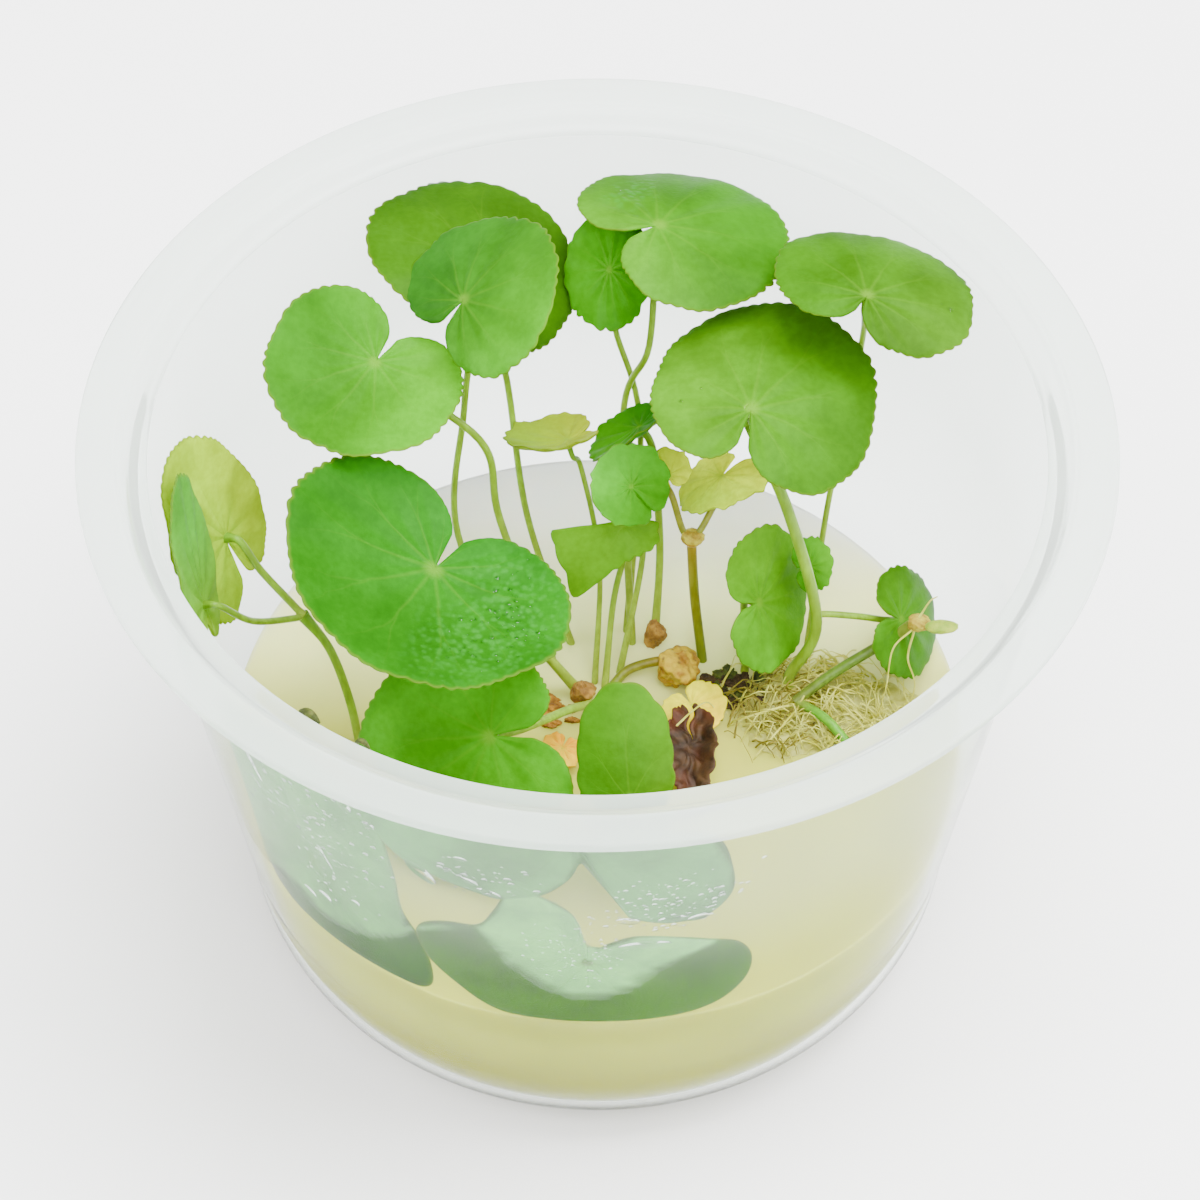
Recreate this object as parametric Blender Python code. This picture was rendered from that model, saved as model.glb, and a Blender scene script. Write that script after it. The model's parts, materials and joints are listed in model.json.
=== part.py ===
"""Brazilian pennywort plantlet in its tissue-culture cup.

A young plant of round, notched leaves on thin stalks grows out of a disc of set gel in a thin plastic cup with
a stepped flange. Lengths are given in millimetres and angles in degrees. The model is built in metres, +Z up,
with its origin at the centre of the cup's flat base.
"""

import math
from collections import namedtuple

import bmesh
import bpy
from mathutils import Vector

MM = 0.001

# Driving dimensions of the cup
FLANGE_RADIUS = 50.0
CUP_HEIGHT = 69.5
BASE_RADIUS = 22.5
CORNER_RADIUS = 36.2
CORNER_HEIGHT = 14.0
SHOULDER_RADIUS = 45.0
WALL = 0.8
LEDGE_RADIUS = 46.8
LEDGE_DEPTH = 1.9
LIP_DROP = 2.0
CUP_SEGMENTS = 48
CORNER_STEPS = 5

# Driving dimensions of the gel and the plant
GAP = 0.3
GEL_TOP = 25.3
GEL_CREEP = 0.6
GEL_SEGMENTS = 40
LEAF_THICKNESS = 0.45
NOTCH_EDGE = 172.0
SMALL_LEAF = 7.0
LEAF_GRIDS = {"small": (12, (0.55, 1.0)), "large": (16, (0.4, 0.75, 1.0))}
TUBE_STEPS = 2
TUBE_SIDES = 6
CALLUS_RADIUS = 2.0
SHEATH_HEIGHT = 3.2
MAT_CENTRE = (22.5, 2.6)
MAT_RADII = (9.6, 6.2)
MAT_THICKNESS = 1.2
MAT_SEGMENTS = 28
MAT_RINGS = ((0.97, 0.0), (1.0, 0.35), (0.7, 0.85))

MATERIALS = {
    "cup_plastic": ((0.86, 0.89, 0.88), 0.35),
    "gel": ((0.76, 0.74, 0.52), 0.25),
    "leaf_green": ((0.17, 0.45, 0.05), 0.40),
    "leaf_pale": ((0.48, 0.65, 0.12), 0.45),
    "stalk_green": ((0.42, 0.52, 0.14), 0.45),
    "stem_brown": ((0.36, 0.27, 0.07), 0.55),
    "callus": ((0.62, 0.48, 0.24), 0.70),
    "leaf_dead": ((0.12, 0.05, 0.03), 0.75),
    "root": ((0.66, 0.64, 0.38), 0.70),
}

# A leaf blade: at is where its stalk joins it. Its upper face leans by tilt towards the heading faces, and its
# tip points along the heading tip; headings turn from +X to +Y. cup bends the whole blade up and roll bends it
# across the direction along, both as shares of its radius and down where negative. skew makes one side longer.
Leaf = namedtuple("Leaf", "at tilt faces tip radius wide notch cup roll along skew", defaults=(0, 0, 0, 0))
LEAVES = {
    "leaf_upper_left": Leaf((-22, 17, 62), 18, -60, 240, 12.3, 0.95, 0.40, 0.12, 0.22, -105),
    "leaf_back_left": Leaf((-11, 27.8, 62.8), 25, -30, 65, 11.2, 1.02, 0.20, -0.08, -0.25, -115, 0.15),
    "leaf_back_near": Leaf((-14, 20.2, 67.8), 36, -165, 30, 10.2, 1.20, 0.50, 0.04, -0.22, -145, -0.1),
    "leaf_top_centre": Leaf((6, 29.8, 68.2), 8, 45, 28, 13.9, 0.97, 0.55, -0.12, -0.17, 68),
    "leaf_dark_back": Leaf((1.2, 29, 61.1), 30, -95, 265, 5.8, 0.88, 0.08, 0.05, -0.15, 0),
    "leaf_top_right": Leaf((26.4, 18.2, 70), 8, -45, 65, 11.6, 1.09, 0.70, -0.20, -0.18, 15),
    "leaf_right_large": Leaf((15, 9.5, 63), 9, -50, 80, 15.3, 0.85, 0.47, -0.05, -0.30, 60, -0.1),
    "leaf_front_large": Leaf((-16, -1.5, 52), 17, -35, 240, 15.6, 1.12, 0.49, 0.22, 0.09, 84),
    "leaf_front_low": Leaf((-10.5, -12, 39), 47, 240, 186, 15.8, 0.85, 0.50, -0.18, 0.12, 95, 0.2),
    "leaf_front_oval": Leaf((3.2, -19.8, 38.4), 62, -135, 190, 11.8, 1.0, 0.25, -0.20, -0.15, -40, 0.1),
    "leaf_centre_small": Leaf((3.3, 10.6, 50.6), 34, -38, 143, 4.4, 1.17, 0.20, 0.05),
    "leaf_edge_on": Leaf((-3, 16.6, 51), 34, 120, 193, 6.2, 1.20, 0.45, 0.20, 0.15),
    "leaf_small_folded": Leaf((4.3, 19.0, 50.3), 40, 150, 200, 6.0, 0.85, 0.45, 0.10, 0.25, 90),
    "leaf_low_bright": Leaf((2, 11, 40), 50, -100, 180, 6.5, 0.80, 0.35, 0.0, 0.35, 0),
    "leaf_young_left": Leaf((7.0, 14.5, 48), 35, -60, 120, 3.0, 1.10, 0.40, 0.10),
    "leaf_young_right": Leaf((12.6, 16.2, 46), 30, 160, 228, 4.3, 1.27, 0.20, 0.0, -0.20, 134),
    "leaf_kidney_right": Leaf((16.2, 6.6, 37.6), 60, -40, 8, 8.6, 1.04, 0.55, -0.04, -0.16, -10),
    "leaf_far_right": Leaf((30.8, 7.5, 34), 55, -32, -5, 8.0, 0.87, 0.60, -0.20, -0.10, -163),
    "leaf_far_left": Leaf((-37.0, 4.8, 49.6), 101, 150, 152, 15.2, 0.52, 0.35, 0.0, -0.22, 90, -0.15),
    "leaf_far_left_near": Leaf((-38.7, -4.6, 50.2), 102, 164, 161, 15.0, 0.34, 0.85, 0.0, 0.06, 90),
    "leaf_behind_stalk": Leaf((21.4, 9.8, 39.6), 60, -60, 30, 2.9, 1.2, 0.30),
    "leaf_wall_left": Leaf((-27.0, -26.1, 37.6), 99, 224, 44, 11.5, 1.20, 0.40, 0.0, -0.155, 90),
    "leaf_wall_front": Leaf((-1.0, -38.1, 36.4), 99, 270, 90, 10.2, 1.75, 0.40, 0.0, -0.14, 90),
    "leaf_yellow": Leaf((9.6, 1.2, 27.4), 15, -100, -60, 3.2, 1.10, 0.30, 0.10),
    "leaf_brown": Leaf((9.4, -4.6, 28.0), 10, -90, -90, 6.6, 0.42, 0.12, 0.0, 1.3, 90),
    "leaf_scrap": Leaf((-3.6, -4.0, 27.2), 12, -60, -110, 2.8, 0.90, 0.30, 0.10),
}
LEAF_FINISHES = {
    "leaf_edge_on": "leaf_pale",
    "leaf_young_left": "leaf_pale",
    "leaf_young_right": "leaf_pale",
    "leaf_far_left": "leaf_pale",
    "leaf_yellow": "leaf_pale",
    "leaf_scrap": "leaf_pale",
    "leaf_brown": "leaf_dead",
}

# A stalk: its radius, then the points it runs through. It ends under its leaf.
STALKS = {
    "leaf_upper_left": (0.40, (-4.6, 9.4, 26.1), (-9.9, 13.9, 42), (-11.8, 14.8, 53)),
    "leaf_back_left": (0.35, (-2.6, 11.6, 26.1), (-7.2, 18.0, 38), (-9.2, 24.0, 52)),
    "leaf_back_near": (0.35, (-7.0, 7.4, 26.1), (-14.2, 13.6, 40), (-13.4, 18.0, 54)),
    "leaf_top_centre": (0.35, (3.9, 13.4, 26.1), (2.6, 24.4, 47), (5.2, 24.0, 57)),
    "leaf_dark_back": (0.32, (1.8, 15.2, 26.1), (4.4, 24.4, 45), (1.8, 27.4, 56)),
    "leaf_top_right": (0.32, (21.8, 11.6, 26.1), (23.4, 15.6, 42), (26.4, 22.0, 59)),
    "leaf_right_large": (0.60, (19.8, 5.6, 27.6), (22.2, 5.4, 36), (19.0, 6.8, 51)),
    "leaf_front_large": (0.50, (-2.4, 6.6, 26.1), (-7.6, 3.6, 36), (-14.0, -0.5, 47)),
    "leaf_front_low": (0.45, (0.2, 4.0, 26.2), (-2.6, -1.4, 30.4), (-7.4, -8.6, 36)),
    "leaf_front_oval": (0.40, (2.6, 2.2, 26.2), (3.2, -7.0, 30), (4.6, -14.4, 35.4)),
    "leaf_centre_small": (0.32, (2.4, 10.6, 26.1), (4.8, 14.2, 37), (4.3, 14.6, 44.5)),
    "leaf_edge_on": (0.28, (-0.6, 8.8, 26.1), (0.2, 13.2, 37), (-1.6, 16.2, 47)),
    "leaf_small_folded": (0.40, (6.4, 15.2, 26.1), (6.4, 15.8, 36), (5.8, 17.8, 46)),
    "leaf_low_bright": (0.32, (0.4, 7.0, 26.1), (0.2, 10.0, 32), (1.0, 11.2, 37)),
    "leaf_young_left": (0.35, (8.6, 11.9, 42.8), (7.5, 13.6, 46)),
    "leaf_young_right": (0.35, (10.6, 12.2, 42.8), (12.2, 14.4, 44.6)),
    "leaf_kidney_right": (0.40, (15.2, 8.0, 27.3), (15.0, 8.6, 33)),
    "leaf_far_right": (0.35, (23.2, 6.8, 35.6), (26.6, 7.0, 35)),
    "leaf_far_left": (0.40, (-30.6, 2.8, 41.8), (-33.6, 3.6, 46)),
    "leaf_far_left_near": (0.35, (-30.4, 1.4, 41.2), (-34.2, -2.4, 45.2)),
    "leaf_wall_left": (0.40, (-26.6, -7.0, 26.1), (-29.4, -16.0, 30), (-26.8, -22.6, 35)),
    "leaf_wall_front": (0.40, (-1.4, -22.0, 26.2), (-1.2, -31.0, 31)),
}

# Stems and runners: radius, how much wider the last stretch is, then the route
STEMS = {
    "stem_upright": (0.50, 3.0, (10.9, 9.4, 26.0), (10.0, 10.9, 33), (9.6, 11.3, 40), (9.6, 11.4, 41.6)),
    "runner_right": (0.55, 0.9, (20.9, 3.0, 28.0), (24.4, 4.4, 29.4), (29.6, 6.4, 31.9)),
    "runner_right_front": (0.50, 0.8, (21.4, 1.9, 27.8), (23.4, -0.6, 27.6), (26.0, -3.6, 27.4)),
    "runner_left": (0.45, 1.6, (-24.2, -2.1, 26.2), (-25.2, 0.1, 30), (-27.0, 1.7, 36), (-29.6, 2.4, 40.6)),
}


def spot(x, y, z=0.0):
    """A point given in millimetres."""
    return Vector((x, y, z)) * MM


def material(name):
    """The named material, made once."""
    found = bpy.data.materials.get(name)
    if found:
        return found
    colour, roughness = MATERIALS[name]
    made = bpy.data.materials.new(name)
    made.use_nodes = True
    shader = made.node_tree.nodes["Principled BSDF"]
    shader.inputs["Base Color"].default_value = (*colour, 1)
    shader.inputs["Roughness"].default_value = roughness
    made.diffuse_color = (*colour, 1)
    return made


def add_mesh(name, bm, finish):
    """Turn a bmesh into a named object with outward faces and the named finish."""
    bmesh.ops.recalc_face_normals(bm, faces=bm.faces)
    mesh = bpy.data.meshes.new(name)
    bm.to_mesh(mesh)
    bm.free()
    mesh.shade_smooth()
    mesh.set_sharp_from_angle(angle=math.radians(40))
    mesh.materials.append(material(finish))
    made = bpy.data.objects.new(name, mesh)
    bpy.context.scene.collection.objects.link(made)
    return made


def turned(name, profile, segments, finish):
    """A closed profile of (radius, height) points spun about the Z axis; it starts and ends on the axis."""
    bm = bmesh.new()
    rings = []
    for radius, height in profile:
        if radius == 0:
            rings.append([bm.verts.new(spot(0, 0, height))])
            continue
        turns = [2 * math.pi * i / segments for i in range(segments)]
        rings.append([bm.verts.new(spot(radius * math.cos(a), radius * math.sin(a), height)) for a in turns])
    for low, high in zip(rings, rings[1:]):
        for i in range(segments):
            j = (i + 1) % segments
            corners = [low[i % len(low)], low[j % len(low)], high[j % len(high)], high[i % len(high)]]
            bm.faces.new(list(dict.fromkeys(corners)))
    return add_mesh(name, bm, finish)


def corner(base, radius, bottom, top):
    """The rounded corner between a flat base of radius base and a wall that starts at (radius, top)."""
    turns = [math.pi / 2 * i / CORNER_STEPS for i in range(CORNER_STEPS + 1)]
    return [(base + (radius - base) * math.sin(a), top - (top - bottom) * math.cos(a)) for a in turns]


def inner_wall(height):
    """The cup's inner radius at a height above its rounded corner."""
    slope = (SHOULDER_RADIUS - CORNER_RADIUS) / (CUP_HEIGHT - LEDGE_DEPTH - WALL - CORNER_HEIGHT)
    return CORNER_RADIUS + slope * (height - CORNER_HEIGHT) - WALL


def make_cup():
    """The thin tapered cup: flat base, rounded corner, straight wall, lid ledge, flange and turned-down lip."""
    ledge = CUP_HEIGHT - LEDGE_DEPTH
    outside = [(0, 0), *corner(BASE_RADIUS, CORNER_RADIUS, 0, CORNER_HEIGHT), (SHOULDER_RADIUS, ledge - WALL)]
    flange = [
        (LEDGE_RADIUS + WALL, ledge - WALL),
        (LEDGE_RADIUS + WALL, CUP_HEIGHT - WALL),
        (FLANGE_RADIUS - WALL, CUP_HEIGHT - WALL),
        (FLANGE_RADIUS - WALL, CUP_HEIGHT - LIP_DROP),
        (FLANGE_RADIUS, CUP_HEIGHT - LIP_DROP),
        (FLANGE_RADIUS, CUP_HEIGHT - 0.4),
        (FLANGE_RADIUS - 0.4, CUP_HEIGHT),
        (LEDGE_RADIUS, CUP_HEIGHT),
        (LEDGE_RADIUS, ledge),
    ]
    floor = corner(BASE_RADIUS - WALL / 2, inner_wall(CORNER_HEIGHT), WALL, CORNER_HEIGHT)
    inside = [(inner_wall(ledge), ledge), *reversed(floor), (0, WALL)]
    return turned("cup", outside + flange + inside, CUP_SEGMENTS, "cup_plastic")


def make_gel():
    """The gel fills the bottom of the cup and creeps a little up the wall."""
    low = corner(BASE_RADIUS - 2 * GAP, inner_wall(CORNER_HEIGHT) - 1.5 * GAP, WALL + GAP, CORNER_HEIGHT)
    edge = inner_wall(GEL_TOP) - GAP
    surface = [(edge, GEL_TOP + GEL_CREEP), (edge - 2 * GEL_CREEP, GEL_TOP), (0, GEL_TOP)]
    return turned("gel", [(0, WALL + GAP), *low, *surface], GEL_SEGMENTS, "gel")


def leaf_axes(leaf):
    """A leaf's unit vectors: to its tip, to its side and out of its upper face."""
    tilt, faces, tip = (math.radians(a) for a in (leaf.tilt, leaf.faces, leaf.tip))
    normal = Vector((math.sin(tilt) * math.cos(faces), math.sin(tilt) * math.sin(faces), math.cos(tilt)))
    ahead = Vector((math.cos(tip), math.sin(tip), 0))
    ahead = (ahead - normal * ahead.dot(normal)).normalized()
    return ahead, normal.cross(ahead), normal


def leaf_point(leaf, share, turn, lift=0.0):
    """The point at a share of the way from the stalk to the edge, turn radians round from the tip."""
    ahead, side, normal = leaf_axes(leaf)
    reach = share * math.cos(turn / 2) ** leaf.notch * (1 + leaf.skew * math.sin(turn))
    u, v = reach * math.cos(turn), reach * math.sin(turn) * leaf.wide
    along = math.radians(leaf.along)
    bend = leaf.cup * (u * u + v * v) + leaf.roll * (u * math.cos(along) + v * math.sin(along)) ** 2
    flat = ahead * u + side * v + normal * bend
    return (Vector(leaf.at) + flat * leaf.radius + normal * lift) * MM


def make_leaf(name, leaf):
    """A thin closed blade with its notch, fanned out from the point where the stalk joins it."""
    segments, shares = LEAF_GRIDS["small" if leaf.radius < SMALL_LEAF else "large"]
    bm = bmesh.new()
    edge = math.radians(NOTCH_EDGE)
    turns = [-edge + 2 * edge * i / segments for i in range(segments + 1)]
    sheets = []
    for lift in (LEAF_THICKNESS / 2, -LEAF_THICKNESS / 2):
        centre = bm.verts.new(leaf_point(leaf, 0, 0, lift))
        sheets.append([[centre] * len(turns)])
        for share in shares:
            sheets[-1].append([bm.verts.new(leaf_point(leaf, share, turn, lift)) for turn in turns])
    for rings in sheets:
        for inner, outer in zip(rings, rings[1:]):
            for i in range(segments):
                corners = [inner[i], outer[i], outer[i + 1], inner[i + 1]]
                bm.faces.new(list(dict.fromkeys(corners)))
    upper, lower = sheets
    for i in range(segments):
        bm.faces.new([upper[-1][i], upper[-1][i + 1], lower[-1][i + 1], lower[-1][i]])
    for side in (0, segments):
        for ring in range(len(shares)):
            bm.faces.new([upper[ring][side], upper[ring + 1][side], lower[ring + 1][side], lower[ring][side]])
    return add_mesh(name, bm, LEAF_FINISHES.get(name, "leaf_green"))


def smooth_route(points):
    """Points on a Catmull-Rom curve through the given ones, TUBE_STEPS to each stretch."""
    ends = [points[0] * 2 - points[1], *points, points[-1] * 2 - points[-2]]
    route = []
    for before, start, stop, after in zip(ends, ends[1:], ends[2:], ends[3:]):
        for step in range(TUBE_STEPS):
            t = step / TUBE_STEPS
            pull = (stop - before) * t + (before * 2 - start * 5 + stop * 4 - after) * t * t
            route.append(start + (pull + (start * 3 - before - stop * 3 + after) * t**3) / 2)
    return [*route, points[-1]]


def make_tube(name, radius, swelling, points, finish):
    """A round stalk or stem along a smooth route; its last stretch swells by the given factor."""
    route = smooth_route([Vector(p) for p in points])
    bm = bmesh.new()
    rings = []
    side = Vector((0, 1, 0.01))
    for i, place in enumerate(route):
        ahead = (route[min(i + 1, len(route) - 1)] - route[max(i - 1, 0)]).normalized()
        side = (side - ahead * side.dot(ahead)).normalized()
        other = ahead.cross(side)
        last = i >= len(route) - 2
        reach = radius * (swelling if last else 1)
        ring = []
        for k in range(TUBE_SIDES):
            turn = 2 * math.pi * k / TUBE_SIDES
            out = side * math.cos(turn) + other * math.sin(turn)
            ring.append(bm.verts.new((place + out * reach) * MM))
        rings.append(ring)
    for low, high in zip(rings, rings[1:]):
        for k in range(TUBE_SIDES):
            j = (k + 1) % TUBE_SIDES
            bm.faces.new([low[k], low[j], high[j], high[k]])
    bm.faces.new(rings[0])
    bm.faces.new(rings[-1])
    return add_mesh(name, bm, finish)


def make_stalk(leaf_name):
    """The stalk of a leaf, ending just under the blade."""
    leaf = LEAVES[leaf_name]
    radius, *points = STALKS[leaf_name]
    normal = leaf_axes(leaf)[2]
    top = Vector(leaf.at) - normal * (LEAF_THICKNESS / 2 + GAP + radius * 0.6)
    name = leaf_name.replace("leaf", "stalk", 1)
    return make_tube(name, radius, 1.0, [*points, top], "stalk_green")


def make_lump(name, place, radii, finish, rough=0.0, waves=3):
    """A rounded lump with its own three radii and a gently uneven surface."""
    bm = bmesh.new()
    bmesh.ops.create_icosphere(bm, subdivisions=2, radius=1)
    for vert in bm.verts:
        x, y, z = vert.co
        swell = 1 + rough * math.sin(waves * x + 1) * math.cos(waves * y) * math.sin(waves * z + 2)
        vert.co = spot(*(c + r * n * swell for c, r, n in zip(place, radii, (x, y, z))))
    return add_mesh(name, bm, finish)


def make_root_mat():
    """The flat mat of roots on the gel, an uneven patch seen from above and lower at its edge."""
    floor = GEL_TOP + GAP
    bm = bmesh.new()
    turns = [2 * math.pi * i / MAT_SEGMENTS for i in range(MAT_SEGMENTS)]
    rings = []
    for share, height in MAT_RINGS:
        ring = []
        for a in turns:
            reach = share * (1 + 0.08 * math.sin(3 * a + 1) + 0.06 * math.sin(5 * a))
            x = MAT_CENTRE[0] + MAT_RADII[0] * reach * math.cos(a)
            y = MAT_CENTRE[1] + MAT_RADII[1] * reach * math.sin(a)
            ring.append(bm.verts.new(spot(x, y, floor + height * MAT_THICKNESS)))
        rings.append(ring)
    for low, high in zip(rings, rings[1:]):
        for i in range(MAT_SEGMENTS):
            j = (i + 1) % MAT_SEGMENTS
            bm.faces.new([low[i], low[j], high[j], high[i]])
    for ring, height in ((rings[0], 0.0), (rings[-1], 1.0)):
        middle = bm.verts.new(spot(*MAT_CENTRE, floor + height * MAT_THICKNESS))
        for i in range(MAT_SEGMENTS):
            bm.faces.new([middle, ring[i], ring[(i + 1) % MAT_SEGMENTS]])
    return add_mesh("root_mat", bm, "root")


def main():
    for old in list(bpy.data.objects):
        bpy.data.objects.remove(old)
    make_cup()
    make_gel()
    for name, leaf in LEAVES.items():
        make_leaf(name, leaf)
    for name in STALKS:
        make_stalk(name)
    for name, (radius, swelling, *points) in STEMS.items():
        make_tube(name, radius, swelling, points, "stem_brown" if name == "stem_upright" else "stalk_green")
    place = (8.2, 6.6, GEL_TOP + GAP + CALLUS_RADIUS)
    make_lump("callus", place, (CALLUS_RADIUS,) * 3, "callus", rough=0.10, waves=4)
    half = SHEATH_HEIGHT / 2
    make_lump("sheath_right", (5.9, 11.6, GEL_TOP + GAP + half), (0.9, 0.9, half), "stem_brown")
    make_lump("sheath_left", (-1.6, 4.2, GEL_TOP + GAP + half * 0.7), (1.0, 0.8, half * 0.7), "stem_brown")
    make_lump("node_right", (32.6, 5.6, 35.6), (0.9, 0.9, 0.9), "stem_brown")
    make_lump("bud_right", (34.6, 4.4, 36.4), (1.5, 0.8, 0.6), "leaf_pale")
    make_root_mat()


main()
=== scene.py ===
# %% [markdown]
# Brazilian pennywort in its tissue-culture cup.
# A young plant of round, notched leaves stands on thin stalks in a disc of cream gel, inside a thin milky
# plastic cup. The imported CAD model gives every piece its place. Each cell below takes one piece or one
# finish, says what it is on the real object, and builds it over the CAD piece that it stands for.

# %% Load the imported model
import json
import math
import random
from collections import namedtuple

import bmesh
import bpy
import numpy as np
from mathutils import Matrix, Vector

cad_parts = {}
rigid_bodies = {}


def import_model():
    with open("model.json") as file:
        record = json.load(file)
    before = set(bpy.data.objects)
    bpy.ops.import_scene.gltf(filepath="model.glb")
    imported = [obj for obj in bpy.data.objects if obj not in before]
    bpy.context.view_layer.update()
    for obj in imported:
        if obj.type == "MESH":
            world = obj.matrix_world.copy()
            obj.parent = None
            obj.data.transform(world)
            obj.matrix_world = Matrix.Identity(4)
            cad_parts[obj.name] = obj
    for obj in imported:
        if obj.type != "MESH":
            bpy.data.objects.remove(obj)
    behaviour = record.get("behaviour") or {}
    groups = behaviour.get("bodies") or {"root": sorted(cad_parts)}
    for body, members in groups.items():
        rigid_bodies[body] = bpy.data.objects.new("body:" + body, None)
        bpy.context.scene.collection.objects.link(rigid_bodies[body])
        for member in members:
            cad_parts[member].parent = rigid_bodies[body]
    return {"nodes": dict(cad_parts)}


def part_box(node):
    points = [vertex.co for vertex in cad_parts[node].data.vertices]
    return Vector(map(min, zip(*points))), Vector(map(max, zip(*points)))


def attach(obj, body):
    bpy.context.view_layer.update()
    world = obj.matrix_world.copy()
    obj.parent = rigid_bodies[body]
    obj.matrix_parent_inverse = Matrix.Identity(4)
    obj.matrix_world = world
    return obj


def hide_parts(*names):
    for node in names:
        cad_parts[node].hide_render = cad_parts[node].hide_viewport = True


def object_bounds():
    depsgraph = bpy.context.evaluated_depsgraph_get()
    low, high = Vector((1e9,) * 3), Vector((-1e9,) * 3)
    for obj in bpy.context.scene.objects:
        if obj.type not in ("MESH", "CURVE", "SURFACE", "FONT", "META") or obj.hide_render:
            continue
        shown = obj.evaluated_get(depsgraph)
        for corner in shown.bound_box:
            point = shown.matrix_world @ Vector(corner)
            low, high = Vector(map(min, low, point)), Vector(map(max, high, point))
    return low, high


for old in list(bpy.data.objects):
    bpy.data.objects.remove(old)
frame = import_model()
cad_box = [list(corner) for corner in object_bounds()]
MM = 0.001
print(f"loaded {len(frame['nodes'])} nodes; the CAD box runs from {cad_box[0]} to {cad_box[1]}")

# %% [markdown]
# The camera looks down into the cup at about 49 degrees, from half a metre away, through a long lens. Both
# ellipses of the flange fix the angle and the distance, so the picture has the photograph's own
# perspective. The focal length is written in pixels of a 1200-pixel picture, because that is how it was
# worked out.

# %% Camera
PICTURE = 1200
FOCAL_PIXELS = 5145
CENTRE_PIXEL = 597.5
LOOK_DOWN = math.radians(49)
DISTANCE = 0.511
AIM = Vector((0, 0, 0.0456))

forward = Vector((0, math.cos(LOOK_DOWN), -math.sin(LOOK_DOWN)))
upward = Vector((0, math.sin(LOOK_DOWN), math.cos(LOOK_DOWN)))
lens = bpy.data.cameras.new("camera")
lens.sensor_width = 36
lens.lens = FOCAL_PIXELS / PICTURE * lens.sensor_width
lens.shift_x = (PICTURE / 2 - CENTRE_PIXEL) / PICTURE
lens.clip_start = 0.01
camera = bpy.data.objects.new("camera", lens)
turned_to = Matrix((Vector((1, 0, 0)), upward, -forward)).transposed().to_4x4()
camera.matrix_world = Matrix.Translation(AIM - forward * DISTANCE) @ turned_to
bpy.context.scene.collection.objects.link(camera)
bpy.context.scene.camera = camera
print(f"camera at {tuple(round(c, 3) for c in camera.matrix_world.translation)}, lens {lens.lens:.1f} mm")

# %% [markdown]
# The wall leaves, the beads and the gel all have to know where the inside of the cup's wall is, so the
# cup's own dimensions come first. Two are read from the frame, and the wall's are those of the CAD source.
# The ledge and the lip inside the flange are finer here than in the solid.

# %% Cup dimensions
FLANGE_RADIUS = cad_box[1][0] / MM
CUP_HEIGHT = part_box("cup")[1].z / MM
BASE_RADIUS = 22.5
CORNER_RADIUS = 36.2
CORNER_HEIGHT = 14.0
SHOULDER_RADIUS = 45.0
WALL = 0.8
LEDGE_RADIUS = 45.7
LEDGE_DEPTH = 0.7
LIP_DROP = 0.5
MOUTH_RADIUS = 43.2
SHOULDER_DROP = 2.7
GEL_TOP = 25.3


def inner_wall(height):
    """The cup's inner radius at a height above its rounded corner."""
    slope = (SHOULDER_RADIUS - CORNER_RADIUS) / (CUP_HEIGHT - SHOULDER_DROP - CORNER_HEIGHT)
    return CORNER_RADIUS + slope * (height - CORNER_HEIGHT) - WALL


print(f"cup is {2 * FLANGE_RADIUS:.1f} mm across the flange and {CUP_HEIGHT:.1f} mm high")

# %% [markdown]
# The inside of the front wall is fogged where leaves stand close behind it, and clear in two windows
# between them. Places on the wall are given as a heading, in degrees from the front and growing to the
# right, and a height in millimetres. The fog ends in a clear line, so it is drawn as closed outlines. Both
# the cup and the leaves behind it ask the same function how foggy a place is.

# %% Fog on the front wall
# Millimetres of wall to a degree of heading
WALL_ARC = 0.70
FOG_EDGE = 1.2
WINDOW_EDGE = 1.0
FOGGED = (
    (-64, 30), (-58, 30), (-54, 31), (-50, 31), (-45, 29.8), (-40, 30.3), (-34, 32.5), (-29, 35.5),
    (-26.5, 38), (-17, 43), (-15, 40.5), (-12.5, 36), (-8, 32.5), (-4, 31), (1, 31), (5, 32.5),
    (8, 35.5), (12.5, 38), (17, 40), (18, 47), (17.5, 54), (15, 59), (12, 66), (-20, 68), (-64, 68),
    (-66, 50),
)
WINDOWS = (
    (
        (-28, 38), (-27, 45), (-26.5, 48.5), (-23, 50.5), (-16, 49.5), (-12.5, 49.5), (-13.5, 46.5),
        (-16, 43), (-22, 41),
    ),
    (
        (0, 41), (-1.5, 47), (-5, 49), (-7.5, 51), (-4, 54), (-2, 58.5), (-0.5, 54.5), (1, 50.5),
        (3, 47.5), (6, 46), (10, 45), (14, 45.5), (19, 47), (19, 40), (16, 40.5), (12, 42), (8.5, 43),
        (5.5, 43), (3, 42),
    ),
)


def inside_outline(headings, heights, outline, edge):
    """1 inside a closed outline on the wall and 0 outside, with a smooth step edge millimetres wide."""
    x, y = headings * WALL_ARC, heights
    corners = np.array(outline, float) * (WALL_ARC, 1)
    nearest = np.full(np.shape(x), np.inf)
    within = np.zeros(np.shape(x), bool)
    for (ax, ay), (bx, by) in zip(corners, np.roll(corners, -1, axis=0)):
        dx, dy = bx - ax, by - ay
        along = np.clip(((x - ax) * dx + (y - ay) * dy) / (dx * dx + dy * dy), 0, 1)
        nearest = np.minimum(nearest, np.hypot(x - ax - along * dx, y - ay - along * dy))
        if dy:
            within ^= ((ay > y) != (by > y)) & (x < ax + (y - ay) / dy * dx)
    step = np.clip(0.5 + np.where(within, nearest, -nearest) / edge, 0, 1)
    return step * step * (3 - 2 * step)


def fogged(headings, heights):
    """How foggy the wall is, from 0 to 1."""
    fog = inside_outline(headings, heights, FOGGED, FOG_EDGE)
    for window in WINDOWS:
        fog = fog * (1 - inside_outline(headings, heights, window, WINDOW_EDGE))
    return fog


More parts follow.
